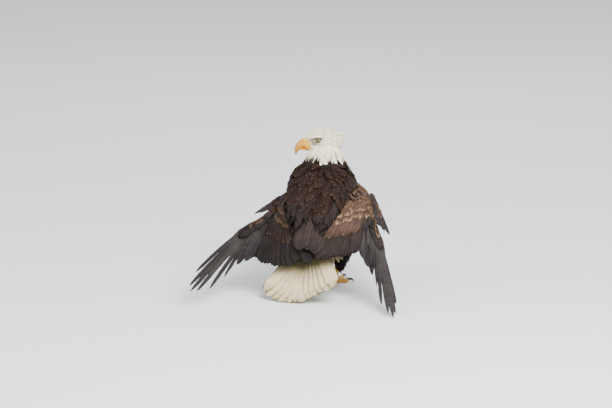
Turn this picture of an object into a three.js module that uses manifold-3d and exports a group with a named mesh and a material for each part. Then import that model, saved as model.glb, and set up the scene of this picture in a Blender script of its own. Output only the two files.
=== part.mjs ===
// A bald eagle at life size, standing with both wings half open and drooped, the tail fanned
// and resting on the ground, and the head turned over the left shoulder.
// Millimetres, +Z up. The breast faces -Y and the bird's left is +X.
import * as THREE from "three";
import { ParametricGeometry } from "three/addons/geometries/ParametricGeometry.js";
import { mergeVertices } from "three/addons/utils/BufferGeometryUtils.js";
import Module from "manifold-3d";

const wasm = await Module();
wasm.setup();

// ---------- driving sizes ----------
const gap = 0.4; // clearance between neighbouring solids
const tailLength = 285;
const tailHalfAngle = 28; // degrees from the middle of the fan to the outermost shaft
const longestPrimary = 545;
const handBone = 157;
const headTurn = 112; // degrees to the left of straight ahead
const billReach = 75; // from between the eyes to the front of the bill
const eyeRadius = 9.5;
const tertials = 4;
const secondaries = 14;
const primaries = 10;
const rectrices = 12;

// A point given as left, ahead and up of the spot between the feet.
const at = (left, ahead, up) => new THREE.Vector3(left, -ahead, up);
const rad = THREE.MathUtils.degToRad;

// ---------- helpers ----------
// A smooth run through rows of numbers, read at t from 0 to 1.
function spline(rows, t) {
  const last = rows.length - 1;
  const x = Math.min(Math.max(t, 0), 1) * last;
  const i = Math.min(Math.floor(x), last - 1);
  const f = x - i;
  const pick = (k) => rows[Math.min(Math.max(k, 0), last)];
  const [a, b, c, d] = [pick(i - 1), pick(i), pick(i + 1), pick(i + 2)];
  return b.map(
    (_, k) =>
      0.5 *
      (2 * b[k] +
        (c[k] - a[k]) * f +
        (2 * a[k] - 5 * b[k] + 4 * c[k] - d[k]) * f * f +
        (3 * b[k] - a[k] - 3 * c[k] + d[k]) * f * f * f)
  );
}

// A closed solid from a geometry whose surface closes on itself.
function solidOf(geometry) {
  const bare = geometry.clone();
  for (const name of Object.keys(bare.attributes)) {
    if (name !== "position") bare.deleteAttribute(name);
  }
  const merged = mergeVertices(bare, 1e-3);
  const kept = [];
  for (let i = 0; i < merged.index.count; i += 3) {
    const [a, b, c] = [0, 1, 2].map((k) => merged.index.getX(i + k));
    if (a !== b && b !== c && a !== c) kept.push(a, b, c);
  }
  const make = (triVerts) =>
    new wasm.Manifold(
      new wasm.Mesh({
        numProp: 3,
        vertProperties: merged.attributes.position.array,
        triVerts: new Uint32Array(triVerts),
      })
    );
  const made = make(kept);
  if (made.volume() > 0) return made;
  for (let i = 0; i < kept.length; i += 3) {
    [kept[i + 1], kept[i + 2]] = [kept[i + 2], kept[i + 1]];
  }
  return make(kept);
}

// The largest piece of a solid once the others are taken away from it.
function cut(solid, ...others) {
  for (const other of others) solid = solid.subtract(other);
  const pieces = solid.decompose();
  return pieces.reduce((a, b) => (a.volume() > b.volume() ? a : b));
}

// The half of space on one side of a plane, as a big box: it keeps what lies along `facing`.
function beyond(point, facing, size = 2000) {
  const box = new THREE.BoxGeometry(size, size, size);
  box.translate(0, 0, size / 2);
  box.applyQuaternion(
    new THREE.Quaternion().setFromUnitVectors(
      new THREE.Vector3(0, 0, 1),
      facing.clone().normalize()
    )
  );
  box.translate(point.x, point.y, point.z);
  return solidOf(box);
}

// A tube of oval sections. Each row is [x, y, z, half width, half depth on the `up` side, and on the other].
// `side` is the direction of the width. Both ends close on the axis.
function tube(rows, side, around, along, grow = 0) {
  const centre = (t) => new THREE.Vector3(...spline(rows, t).slice(0, 3));
  const shape = (u, v, target) => {
    const t = Math.min(Math.max((v * along - 1) / (along - 2), 0), 1);
    const row = spline(rows, t);
    const middle = centre(t);
    const run = centre(Math.min(t + 0.01, 1)).sub(centre(Math.max(t - 0.01, 0))).normalize();
    const across = side.clone().addScaledVector(run, -side.dot(run)).normalize();
    const up = run.clone().cross(across);
    const angle = 2 * Math.PI * u;
    const open = v * along < 0.5 || v * along > along - 0.5 ? 0 : 1;
    const lift = Math.sin(angle) > 0 ? row[4] : row[5];
    target.copy(middle);
    target.addScaledVector(across, Math.cos(angle) * (row[3] + grow) * open);
    target.addScaledVector(up, Math.sin(angle) * (lift + grow) * open);
    if (t === 0 || t === 1) target.addScaledVector(run, (2 * t - 1) * grow);
  };
  return solidOf(new ParametricGeometry(shape, around, along));
}

// A sheet of triangles, given as corner points with a thickness each, made solid below its upper face.
function thicken(corners, grow = 0) {
  const sheet = new THREE.BufferGeometry();
  sheet.setAttribute("position", new THREE.Float32BufferAttribute(corners.flatMap((c) => [...c.point]), 3));
  sheet.setAttribute("thick", new THREE.Float32BufferAttribute(corners.map((c) => c.thick), 1));
  const bare = sheet.clone().deleteAttribute("thick");
  const welded = mergeVertices(bare, 1e-2);
  const thick = new Float32Array(welded.attributes.position.count);
  const faces = [];
  for (let i = 0; i < welded.index.count; i += 3) {
    const ids = [0, 1, 2].map((k) => welded.index.getX(i + k));
    ids.forEach((id, k) => (thick[id] = corners[i + k].thick));
    if (new Set(ids).size === 3) faces.push(ids);
  }
  welded.setIndex(faces.flat());
  welded.computeVertexNormals();
  const count = thick.length;
  const place = welded.attributes.position;
  const normal = welded.attributes.normal;
  const points = new Float32Array(count * 6);
  const p = new THREE.Vector3();
  const n = new THREE.Vector3();
  for (let i = 0; i < count; i++) {
    n.fromBufferAttribute(normal, i);
    p.fromBufferAttribute(place, i).addScaledVector(n, grow);
    points.set([...p], i * 3);
    p.addScaledVector(n, -thick[i] - 2 * grow);
    points.set([...p], (count + i) * 3);
  }
  const index = [];
  const rims = new Map();
  for (const [a, b, c] of faces) {
    index.push(a, b, c, count + a, count + c, count + b);
    for (const [s, e] of [[a, b], [b, c], [c, a]]) {
      if (!rims.delete(e + "_" + s)) rims.set(s + "_" + e, [s, e]);
    }
  }
  for (const [s, e] of rims.values()) {
    index.push(s, count + s, e, e, count + s, count + e);
  }
  const closed = new THREE.BufferGeometry();
  closed.setAttribute("position", new THREE.BufferAttribute(points, 3));
  closed.setIndex(index);
  return solidOf(closed);
}

// ---------- the body ----------
const acrossBody = new THREE.Vector3(1, 0, 0);
// Along the spine from the root of the tail to inside the head: left, ahead, up, half width, depth above, depth below.
const spineRows = [
  [0, -132, 124, 34, 8, 14],
  [0, -112, 152, 58, 14, 34],
  [0, -85, 190, 66, 27, 42],
  [0, -45, 238, 78, 52, 70],
  [0, 0, 285, 93, 70, 86],
  [1, 38, 335, 104, 76, 88],
  [2, 46, 372, 82, 66, 68],
  [1, 42, 402, 67, 54, 52],
  [1, 40, 428, 57, 50, 46],
  [0, 40, 448, 48, 44, 40],
  [0, 40, 466, 34, 32, 30],
].map(([left, ahead, up, ...sizes]) => [...at(left, ahead, up), ...sizes]);
// The scapulars lie over the back and the roots of the wings as one arched cape, forked below.
const capeRows = (side) =>
  [
    [12, -8, 392, 34, 24, 8],
    [28, -24, 362, 58, 30, 8],
    [40, -56, 326, 62, 30, 8],
    [42, -94, 288, 56, 27, 8],
    [42, -132, 254, 44, 20, 8],
    [42, -164, 229, 28, 12, 6],
    [42, -186, 214, 12, 6, 4],
  ]
    .reverse()
    .map(([left, ahead, up, ...sizes]) => [...at(side * left, ahead, up), ...sizes]);
const bodyTube = (grow = 0) =>
  tube(spineRows, acrossBody, 16, 13, grow)
    .add(tube(capeRows(1), acrossBody, 12, 9, grow))
    .add(tube(capeRows(-1), acrossBody, 12, 9, grow));

// ---------- the head ----------
const headMiddle = at(28, 44, 464); // between the eyes
const ahead = at(Math.sin(rad(headTurn)), Math.cos(rad(headTurn)), 0);
const upward = new THREE.Vector3(0, 0, 1);
const headLeft = upward.clone().cross(ahead);
// A point of the head: reach towards the bill, height, and how far to the head's own left.
const onHead = (reach, height, left = 0) =>
  headMiddle
    .clone()
    .addScaledVector(ahead, reach)
    .addScaledVector(upward, height)
    .addScaledVector(headLeft, left);

const headRows = [
  [-85, -14, 12, 14, 16],
  [-72, -10, 30, 34, 36],
  [-50, -6, 39, 43, 44],
  [-22, -2, 40, 43, 47],
  [4, -1, 35, 39, 44],
  [20, -4, 25, 28, 34],
  [30, -8, 17, 19, 22],
].map(([reach, height, ...sizes]) => [...onHead(reach, height), ...sizes]);
const skull = (grow = 0) => tube(headRows, headLeft.clone().negate(), 14, 9, grow);

// The upper bill runs forward and hooks down. Its base, behind cereEdge, is the cere.
const cereEdge = 43;
const billRows = [
  [22, -7, 16, 18, 14],
  [34, -7, 15, 17, 14],
  [46, -8, 12.5, 15, 13],
  [58, -14, 10, 13.5, 10],
  [66, -23, 7.5, 11, 7],
  [69.5, -34, 5, 7, 4],
  [69, -46, 1, 1.4, 1.2],
].map(([reach, height, ...sizes]) => [...onHead(reach * billReach / 75, height), ...sizes]);
const billTube = (grow = 0) => tube(billRows, headLeft.clone().negate(), 12, 12, grow);
const jawRows = [
  [6, -26, 11, 5, 5],
  [26, -27, 10, 5, 6],
  [44, -28, 8, 4, 5],
  [60, -28, 4, 2, 3],
].map(([reach, height, ...sizes]) => [...onHead(reach, height), ...sizes]);
const jawTube = (grow = 0) => tube(jawRows, headLeft.clone().negate(), 10, 7, grow);

function eyeBall(side, grow = 0) {
  const ball = new THREE.SphereGeometry(eyeRadius + grow, 10, 7);
  ball.translate(...onHead(-1.5, 6, side * 27.5));
  return solidOf(ball);
}

// ---------- the legs ----------
const ankle = (side) => at(side * 38, 8, 0);
const thighRows = (side) =>
  [
    [48, 18, 240, 34, 40, 40],
    [60, 24, 190, 46, 52, 50],
    [64, 8, 138, 40, 44, 44],
    [66, -12, 98, 32, 32, 30],
    [67, -22, 68, 19, 18, 18],
    [68, -25, 50, 9, 9, 9],
  ].map(([left, front, up, ...sizes]) => [...at(side * left, front, up), ...sizes]);
const shankRows = (side) =>
  [
    [64, -26, 92, 10, 10, 10],
    [57, -18, 69, 8.5, 8.5, 8.5],
    [51, -9, 46, 8.5, 8.5, 8.5],
    [44, 0, 25, 9, 9, 9],
    [38, 8, 4, 9, 9, 9],
  ].map(([left, front, up, ...sizes]) => [...at(side * left, front, up), ...sizes]);
// The shank with the ball of the foot at its end.
function shankSolid(side, grow = 0) {
  const ball = new THREE.SphereGeometry(13.5 + grow, 9, 6);
  ball.rotateX(Math.PI / 2).translate(...ankle(side).addScaledVector(upward, 9));
  return tube(shankRows(side), acrossBody, 8, 6, grow).add(solidOf(ball));
}

// Toes by name: turn outwards from straight ahead in degrees, length to the claw, radius, and claw length.
const toes = {
  hallux: { turn: 172, length: 38, radius: 8, claw: 43 },
  inner: { turn: -22, length: 46, radius: 8, claw: 41 },
  middle: { turn: 12, length: 68, radius: 7.6, claw: 36 },
  outer: { turn: 64, length: 47, radius: 7.4, claw: 31 },
};
// A toe's own frame: run along the ground, and height.
function toePath(side, toe, points) {
  const turn = rad(toe.turn) * side;
  const run = at(Math.sin(turn), Math.cos(turn), 0);
  return points.map(([along, height, ...sizes]) => [
    ...ankle(side).addScaledVector(run, along).addScaledVector(upward, height),
    ...sizes,
  ]);
}
const levelAcross = (side, toe) => at(Math.cos(rad(toe.turn) * side), -Math.sin(rad(toe.turn) * side), 0);
function toeTube(side, toe, grow = 0) {
  const r = toe.radius;
  const rows = toePath(side, toe, [
    [4, 11, r, r, r],
    [toe.length * 0.4, 10, r, r, r + 1],
    [toe.length * 0.72, 8, r * 0.88, r * 0.85, r],
    [toe.length, 8.5, r * 0.78, r * 0.8, r * 0.8],
    [toe.length + 3, 8.5, r * 0.5, r * 0.5, r * 0.5],
  ]);
  return tube(rows, levelAcross(side, toe), 7, 6, grow);
}
// A claw leaves the toe level, arches and curves down until its tip is just off the ground.
function clawTube(side, toe, grow = 0) {
  const bend = rad(125);
  const reach = toe.claw / bend;
  const points = [0, 0.25, 0.5, 0.75, 1].map((t) => {
    const angle = rad(28) - bend * t;
    const radius = 5.4 * (1 - t) ** 0.75 + 0.6;
    return [
      toe.length - 3 + reach * (Math.sin(rad(28)) - Math.sin(angle)),
      9.5 + reach * (Math.cos(angle) - Math.cos(rad(28))),
      radius * 0.8,
      radius,
      radius,
    ];
  });
  const low = points[4][1] - 1.4;
  points.forEach((p, k) => (p[1] -= low * (k / 4) ** 1.5));
  return tube(toePath(side, toe, points), levelAcross(side, toe), 6, 6, grow);
}

// ---------- the tail ----------
const tailRoot = at(0, -100, 171);
const tailPitch = 36.5; // degrees below level
const tailRoll = 10; // degrees, right side up
const tailAxis = at(0, -Math.cos(rad(tailPitch)), -Math.sin(rad(tailPitch)));
const tailAcross = new THREE.Vector3(1, 0, 0).applyAxisAngle(tailAxis, rad(tailRoll));
const tailNormal = tailAcross.clone().cross(tailAxis).normalize();
// A point of the fan: turn from its middle as a share of the half angle, and distance as a share of its length.
function onTail(turn, share) {
  const angle = rad(tailHalfAngle) * turn;
  const length = tailLength * (1 - 0.075 * turn * turn);
  const along = length * share;
  const trough = 0.085 * turn * turn * along;
  const arch = 6 * Math.sin(Math.PI * share);
  return tailRoot
    .clone()
    .addScaledVector(tailAxis, along * Math.cos(angle))
    .addScaledVector(tailAcross, along * Math.sin(angle) + 9 * turn)
    .addScaledVector(tailNormal, trough + arch);
}

// ---------- the wings ----------
// Each side holds its wing a little differently.
const pose = {
  left: { side: 1, yaw: [6.5, 19], pitch: [24, 17.5], trail: -9, meet: 0, lift: 3, alula: [0.757, -0.465, -0.457] },
  right: { side: -1, yaw: [11.5, 24.5], pitch: [22.3, 24.6], trail: 24, meet: 8, lift: 0, alula: [0.47, -0.12, -0.87] },
};
const feathers = tertials + secondaries + primaries;
const firstPrimary = tertials + secondaries;
const mix = THREE.MathUtils.lerp;
// Length of each primary from the innermost to the outermost, as a share of the longest.
const primaryShares = [0.635, 0.645, 0.665, 0.71, 0.88, 0.965, 1, 0.995, 0.935, 0.79].map((x) => [x]);

// Where feather number j starts at the front of the wing, crosses the arm, and ends.
function stations(wing, j) {
  const { side, trail, meet } = wing;
  const put = (row) => at(side * row[0], row[1], row[2]);
  const inner = Math.min(j / firstPrimary, 1);
  const hand = Math.max((j - firstPrimary) / (primaries - 1), 0);
  let front = spline([[16, 16, 374], [62, 70, 344], [96, 100, 318], [117, 116, 294], [129, 121, 276]], inner);
  let root = spline([[18, -56, 318], [92, -72, 280], [108, -14, 284], [118, 50, 288], [127, 100, 280]], inner);
  let tip = spline([[8, -250, 126], [50, -256, 116], [96, -258, 118], [138, -250, 124], [166, -240, 134]], inner);
  tip[2] += trail;
  tip[0] += meet * (1 - inner) ** 2;
  front = put(front);
  root = put(root);
  tip = put(tip);
  if (j > firstPrimary - 1) {
    const h = hand;
    const bone = at(side * 0.33, -0.863, -0.384).normalize();
    root = at(side * 127, 106, 278).addScaledVector(bone, handBone * (0.1 + 0.9 * h));
    front = at(side * 131, 121, 271).addScaledVector(bone, handBone * (0.05 + 1.03 * h));
    const yaw = rad(mix(wing.yaw[0], wing.yaw[1], h));
    const pitch = rad(mix(wing.pitch[0], wing.pitch[1], h) - wing.lift * h ** 6);
    const length = longestPrimary * spline(primaryShares, h)[0];
    const out = at(side * Math.sin(yaw) * Math.cos(pitch), -Math.cos(yaw) * Math.cos(pitch), -Math.sin(pitch));
    const own = root.clone().addScaledVector(out, length);
    const blend = Math.min(j - firstPrimary + 1, 1);
    tip.lerp(own, blend);
  }
  return { front, root, tip };
}
// A point of the wing's upper face: j counts feathers outwards from the body, v runs from front to back.
const frontShare = 0.2;
function onWing(wing, j, v) {
  const { front, root, tip } = stations(wing, j);
  if (v < frontShare) {
    const t = v / frontShare;
    return front.clone().lerp(root, t).addScaledVector(upward, 7 * Math.sin(Math.PI * Math.sqrt(Math.max(t, 0))));
  }
  const t = (v - frontShare) / (1 - frontShare);
  return root.clone().lerp(tip, t).addScaledVector(upward, 16 * Math.sin(Math.PI * t));
}
function wingThickness(j, v) {
  const hand = THREE.MathUtils.smoothstep(j, firstPrimary - 2, firstPrimary + 6);
  const arm = mix(23, 13, hand);
  const rows = [[5], [arm], [arm], [arm * 0.5], [arm * 0.24], [2.6], [1.8], [1.3], [1.1]];
  return spline(rows, v)[0];
}
// The arm's feathers lie closed: a plain sheet whose trailing edge is scalloped, one scallop to a feather.
function armSheet(wing, grow = 0) {
  const rows = [-grow / 50, 0.2, 0.4, 0.68, 0.965];
  const corner = (j, v) => ({ point: onWing(wing, j, v), thick: wingThickness(j, v) });
  const corners = [];
  const face = (...three) => corners.push(...(wing.side > 0 ? [three[0], three[2], three[1]] : three));
  for (let j = 0; j < firstPrimary; j++) {
    const [near, far] = [j - 0.5, j + 0.5];
    for (let r = 0; r < rows.length - 1; r++) {
      face(corner(near, rows[r]), corner(far, rows[r]), corner(far, rows[r + 1]));
      face(corner(near, rows[r]), corner(far, rows[r + 1]), corner(near, rows[r + 1]));
    }
    face(corner(near, rows.at(-1)), corner(far, rows.at(-1)), corner(j, 1));
  }
  return thicken(corners, grow);
}
// The hand's feathers part into fingers, deeper and wider apart towards the leading edge.
const fingerHalfWidth = 17;
function handSheet(wing, grow = 0) {
  const rows = [-grow / 50, 0.2, 0.38, 0.56, 0.72, 0.86, 0.95, 1];
  const lastEdge = feathers - 0.5;
  const partsFrom = (j) => mix(0.95, 0.56, THREE.MathUtils.smoothstep(j, firstPrimary, firstPrimary + 5));
  const corner = (j, turn, v) => {
    const share = partsFrom(j + turn / 2);
    const middle = onWing(wing, j, v);
    const reach = j + turn / 2 === lastEdge ? lastEdge + grow / 8 : j + turn / 2;
    const edge = onWing(wing, reach, v);
    const thick = wingThickness(j, v);
    if (turn === 0 || v <= share + 1e-6) return { point: edge, thick };
    const rest = (v - share) / (1 - share);
    const half = middle.distanceTo(edge);
    const width = Math.min(half * mix(1, 0.82, Math.min(rest * 3, 1)), fingerHalfWidth) * Math.sqrt(1 - rest ** 6);
    return { point: middle.addScaledVector(edge.sub(middle).normalize(), width), thick };
  };
  const corners = [];
  const face = (...three) => corners.push(...(wing.side > 0 ? [three[0], three[2], three[1]] : three));
  for (let j = firstPrimary; j < feathers; j++) {
    for (let r = 0; r < rows.length - 1; r++) {
      for (const turn of [-1, 0]) {
        const [a, b] = [corner(j, turn, rows[r]), corner(j, turn + 1, rows[r])];
        const [c, d] = [corner(j, turn + 1, rows[r + 1]), corner(j, turn, rows[r + 1])];
        face(a, b, c);
        face(a, c, d);
      }
    }
  }
  return thicken(corners, grow);
}
// A thin upright wall that parts the arm's feathers from the hand's.
function parting(wing) {
  const line = (v) => onWing(wing, firstPrimary - 0.5, v);
  const run = line(1).sub(line(0)).normalize();
  const shape = (u, v, target) => {
    const share = -0.12 + 1.3 * v;
    target.copy(line(Math.min(Math.max(share, 0), 1)));
    target.addScaledVector(run, 400 * (share - Math.min(Math.max(share, 0), 1)));
    target.addScaledVector(upward, 60 * (2 * u - 1));
  };
  const sheet = new ParametricGeometry(shape, 1, 26).toNonIndexed().attributes.position;
  const corners = [];
  for (let i = 0; i < sheet.count; i++) {
    corners.push({ point: new THREE.Vector3().fromBufferAttribute(sheet, i), thick: gap });
  }
  return thicken(corners);
}

// The alula stands off the front of the hand as one narrow blade.
const alulaLength = 150;
function alulaTube(wing, grow = 0) {
  const { side } = wing;
  const start = at(side * 139, 124, 266);
  const out = at(side * wing.alula[0], wing.alula[1], wing.alula[2]).normalize();
  const rows = [[-0.12, 8, 6], [0.1, 13, 6], [0.4, 13, 3], [0.75, 9, 1.6], [0.93, 5, 1.1], [1, 1.5, 0.8]].map(
    ([share, wide, deep]) => [...start.clone().addScaledVector(out, alulaLength * share), wide, deep, deep]
  );
  return tube(rows, at(side * 0.25, -0.9, -0.3), 6, 7, grow);
}

// The tail fan, with the tips of the feathers rounded apart.
function tailFan(grow = 0) {
  const corners = [];
  const rows = [0, 0.45, 0.95, 1];
  const step = 2 / rectrices;
  const rounded = (turn, share) => onTail(turn, share * (share > 0.96 ? 0.985 : 1));
  for (let k = 0; k < rectrices; k++) {
    for (const half of [0, 1]) {
      for (let r = 0; r < rows.length - 1; r++) {
        const place = (col, row) => {
          const turn = -1 + step * (k + (half + col) / 2);
          const middle = (half + col) === 1;
          return middle ? onTail(turn, rows[row]) : rounded(turn, rows[row]);
        };
        const quad = [[0, r], [1, r], [1, r + 1], [0, r + 1]].map(([col, row]) => ({
          point: place(col, row),
          thick: mix(9, 2.2, Math.min(rows[row] * 1.6, 1)),
        }));
        corners.push(...[0, 1, 2, 0, 2, 3].map((i) => quad[i]));
      }
    }
  }
  return thicken(corners, grow);
}

// ---------- putting it together ----------
const colours = {
  dark: { color: 0x1e1916, roughness: 0.85 },
  back: { color: 0x4a352c, roughness: 0.8 },
  wing: { color: 0x6a5243, roughness: 0.75 },
  flight: { color: 0x57494a, roughness: 0.65 },
  white: { color: 0xf1ece0, roughness: 0.8 },
  horn: { color: 0xe0a030, roughness: 0.4 },
  cere: { color: 0xe8bc3c, roughness: 0.5 },
  foot: { color: 0xd9a227, roughness: 0.6 },
  claw: { color: 0x15130f, roughness: 0.3 },
  eye: { color: 0xe6d68a, roughness: 0.1 },
};
const bird = new THREE.Group();
const place = new THREE.Group();
bird.add(place);
function add(name, solid, colour) {
  const mesh = solid.getMesh();
  const geometry = new THREE.BufferGeometry();
  const points = new Float32Array(mesh.numVert * 3);
  for (let i = 0; i < mesh.numVert; i++) {
    points.set(mesh.vertProperties.subarray(i * mesh.numProp, i * mesh.numProp + 3), i * 3);
  }
  geometry.setAttribute("position", new THREE.BufferAttribute(points, 3));
  geometry.setIndex(new THREE.BufferAttribute(mesh.triVerts, 1));
  geometry.computeVertexNormals();
  const piece = new THREE.Mesh(geometry, new THREE.MeshStandardMaterial({ metalness: 0, ...colours[colour] }));
  piece.name = name;
  place.add(piece);
}

const ground = beyond(new THREE.Vector3(0, 0, 0), upward);
const sides = Object.entries(pose);

// Head and trunk are one form, parted at the throat and at the foot of the neck.
const whole = bodyTube().add(skull());
const throat = { point: at(10, 40, 418), facing: at(0.25, -0.1, 0.96) };
const shoulder = { point: at(4, 44, 372), facing: at(0, -0.05, 1) };
const half = (cutAt, way) =>
  beyond(
    cutAt.point.clone().addScaledVector(cutAt.facing, (way * gap) / 2),
    cutAt.facing.clone().multiplyScalar(way)
  );
const eyes = [eyeBall(1, gap), eyeBall(-1, gap)];
const headSolid = cut(whole.intersect(half(throat, 1)), billTube(gap), jawTube(gap), ...eyes);
const neckSolid = cut(whole.intersect(half(throat, -1)).intersect(half(shoulder, 1)), billTube(gap));
const trunkWhole = whole.intersect(half(shoulder, -1));
add("head", headSolid, "white");
add("neck", neckSolid, "back");

const cereCut = { point: onHead(cereEdge, 0), facing: ahead };
add("bill_upper", cut(billTube().intersect(half(cereCut, 1))), "horn");
add("cere", cut(billTube().intersect(half(cereCut, -1))), "cere");
add("bill_lower", cut(jawTube(), billTube(gap)), "horn");
add("eye_left", cut(eyeBall(1)), "eye");
add("eye_right", cut(eyeBall(-1)), "eye");

const body = bodyTube(gap);
const tailSolid = cut(tailFan().intersect(ground), body);
for (const [name, wing] of sides) {
  const { side } = wing;
  const wall = parting(wing);
  const inner = cut(armSheet(wing), wall, body);
  const hand = cut(handSheet(wing), wall, body);
  const wingGrown = armSheet(wing, gap).add(handSheet(wing, gap));
  add("wing_" + name + "_arm", inner, "wing");
  add("wing_" + name + "_hand", hand, "flight");
  add("wing_" + name + "_alula", cut(alulaTube(wing), wingGrown, handSheet(wing, 4 * gap), wall), "flight");

  const shank = shankSolid(side).intersect(ground);
  const shankGrown = shankSolid(side, gap);
  add("thigh_" + name, cut(tube(thighRows(side), acrossBody, 12, 8), body, shankGrown, wingGrown), "dark");
  add("shank_" + name, cut(shank), "foot");
  const taken = [shankGrown];
  for (const [toeName, toe] of Object.entries(toes)) {
    const clawGrown = clawTube(side, toe, gap);
    add("toe_" + name + "_" + toeName, cut(toeTube(side, toe).intersect(ground), ...taken, clawGrown), "foot");
    add("claw_" + name + "_" + toeName, cut(clawTube(side, toe).intersect(ground), ...taken), "claw");
    taken.push(toeTube(side, toe, gap));
  }
}
add("trunk", cut(trunkWhole), "back");
add("tail", tailSolid, "white");

// The origin is at the middle of the whole bird's box, on the ground.
const box = new THREE.Box3().setFromObject(bird);
place.position.set(-(box.min.x + box.max.x) / 2, -(box.min.y + box.max.y) / 2, -box.min.z);

export default bird;
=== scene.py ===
import bpy
import math
import numpy as np
from mathutils import Matrix, Vector


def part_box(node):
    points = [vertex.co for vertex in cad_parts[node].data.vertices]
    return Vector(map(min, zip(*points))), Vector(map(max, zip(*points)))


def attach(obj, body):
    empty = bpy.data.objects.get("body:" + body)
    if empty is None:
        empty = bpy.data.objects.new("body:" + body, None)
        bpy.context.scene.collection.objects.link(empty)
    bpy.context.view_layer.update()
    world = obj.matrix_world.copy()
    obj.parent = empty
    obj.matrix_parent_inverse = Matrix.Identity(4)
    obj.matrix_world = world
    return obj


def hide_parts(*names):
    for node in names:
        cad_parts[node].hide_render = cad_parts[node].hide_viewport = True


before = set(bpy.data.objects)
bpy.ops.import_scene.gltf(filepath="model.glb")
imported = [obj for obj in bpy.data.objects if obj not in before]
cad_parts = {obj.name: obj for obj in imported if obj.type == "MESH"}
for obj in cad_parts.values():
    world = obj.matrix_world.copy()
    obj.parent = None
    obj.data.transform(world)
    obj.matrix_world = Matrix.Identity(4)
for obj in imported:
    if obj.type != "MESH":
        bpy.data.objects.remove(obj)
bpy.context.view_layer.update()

rng = np.random.default_rng(11)
pi = math.pi

# Lengths are in millimetres in the bird's own place: x to its left, y behind it, z up, with
# the spot between its feet at zero. toWorld moves them onto the frame, in metres.
bird = {
    "headMiddle": (28, 44, 464),  # left, ahead and up of the spot between the feet
    "headTurn": 112,  # degrees, to the left
    "eyeOut": 27.5,  # from the middle of the head to an eye
    "eyeReach": -1.5,
    "eyeHeight": 6,
    "frontShare": 0.2,  # share of a wing ray that lies in front of the bones
    "tertials": 4,
    "secondaries": 14,
    "primaries": 10,
    "handBone": 157,
    "longestPrimary": 545,
    "tailLength": 285,
    "tailHalfAngle": 28,
    "tailPitch": 36.5,
    "tailRoll": 10,
}
headMiddle = np.array([bird["headMiddle"][0], -bird["headMiddle"][1], bird["headMiddle"][2]])
turned = math.radians(bird["headTurn"])
headAhead = np.array([math.sin(turned), -math.cos(turned), 0])
upward = np.array([0, 0, 1.0])
headLeft = np.cross(upward, headAhead)
acrossBody = np.array([1.0, 0, 0])
sides = {"left": 1, "right": -1}


# A point of the head from its reach towards the bill, its height, and how far to the head's left.
def onHead(reach, height, left=0.0):
    reach, height, left = (np.asarray(x, float)[..., None] for x in (reach, height, left))
    return headMiddle + headAhead * reach + upward * height + headLeft * left


eyeLow, eyeHigh = (np.array(corner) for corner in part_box("eye_left"))
shift = (eyeLow + eyeHigh) * 500 - onHead(bird["eyeReach"], bird["eyeHeight"], bird["eyeOut"])


def toWorld(points):
    return (points + shift) * 0.001


cameraSpec = {"azimuth": 194.0, "elevation": 12.0, "lens": 600.0, "widthSeen": 1989.0, "side": -52.0,
    "lift": 257.0}
azimuth = math.radians(cameraSpec["azimuth"])
elevation = math.radians(cameraSpec["elevation"])
look = np.array([-math.sin(azimuth) * math.cos(elevation), math.cos(azimuth) * math.cos(elevation),
    -math.sin(elevation)])
cameraRight = np.array([math.cos(azimuth), math.sin(azimuth), 0])
middleSeen = cameraRight * cameraSpec["side"] + upward * cameraSpec["lift"] / math.cos(elevation)
cameraFar = cameraSpec["widthSeen"] * cameraSpec["lens"] / 36
cameraData = bpy.data.cameras.new("camera")
cameraData.lens = cameraSpec["lens"]
cameraData.sensor_width = 36
cameraData.clip_end = 200
camera = bpy.data.objects.new("camera", cameraData)
bpy.context.scene.collection.objects.link(camera)
camera.location = toWorld(middleSeen - look * cameraFar)
camera.rotation_mode = "QUATERNION"
camera.rotation_quaternion = Vector(look).to_track_quat("-Z", "Y")
bpy.context.scene.camera = camera


def unit(v):
    return v / np.maximum(np.linalg.norm(v, axis=-1, keepdims=True), 1e-9)


def smooth(x, low, high):
    t = np.clip((x - low) / (high - low), 0, 1)
    return t * t * (3 - 2 * t)


# A smooth run through rows of numbers (Catmull-Rom), read at every t from 0 to 1 at once.
def spline(rows, t):
    rows = np.asarray(rows, float)
    last = len(rows) - 1
    x = np.clip(np.asarray(t, float), 0, 1) * last
    i = np.minimum(np.floor(x).astype(int), last - 1)
    f = (x - i)[..., None]
    a, b, c, d = (rows[np.clip(i + k, 0, last)] for k in (-1, 0, 1, 2))
    return 0.5 * (2 * b + (c - a) * f + (2 * a - 5 * b + 4 * c - d) * f**2 + (3 * b - a - 3 * c + d) * f**3)


# Rows given as left, ahead, up and sizes, as x, y, z and sizes.
def bodyRows(rows, side=1):
    rows = np.array(rows, float)
    rows[:, 0] *= side
    rows[:, 1] *= -1
    return rows


def headRows(rows):
    rows = np.array(rows, float)
    return np.hstack([onHead(rows[:, 0], rows[:, 1]), rows[:, 2:]])


# The surface of a tube of oval sections at turn u (0 to 1 round) and t (0 to 1 along).
# Each row is x, y, z, half width, depth above and depth below. squareness over 2 fills the corners.
def tubePoint(rows, side, u, t, grow=0.0, squareness=2.0):
    u, t = np.broadcast_arrays(np.asarray(u, float), np.asarray(t, float))
    row = spline(rows, t)
    run = spline(rows, np.minimum(t + 0.01, 1)) - spline(rows, np.maximum(t - 0.01, 0))
    run = unit(run[..., :3])
    across = unit(side - run * (run @ side)[..., None])
    above = np.cross(run, across)
    c, s = np.cos(2 * pi * u), np.sin(2 * pi * u)
    power = 2 / squareness
    c, s = np.sign(c) * np.abs(c) ** power, np.sign(s) * np.abs(s) ** power
    lift = np.where(s > 0, row[..., 4], row[..., 5])
    wide = (row[..., 3] + grow) * c
    deep = (lift + grow) * s
    return row[..., :3] + across * wide[..., None] + above * deep[..., None]


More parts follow.
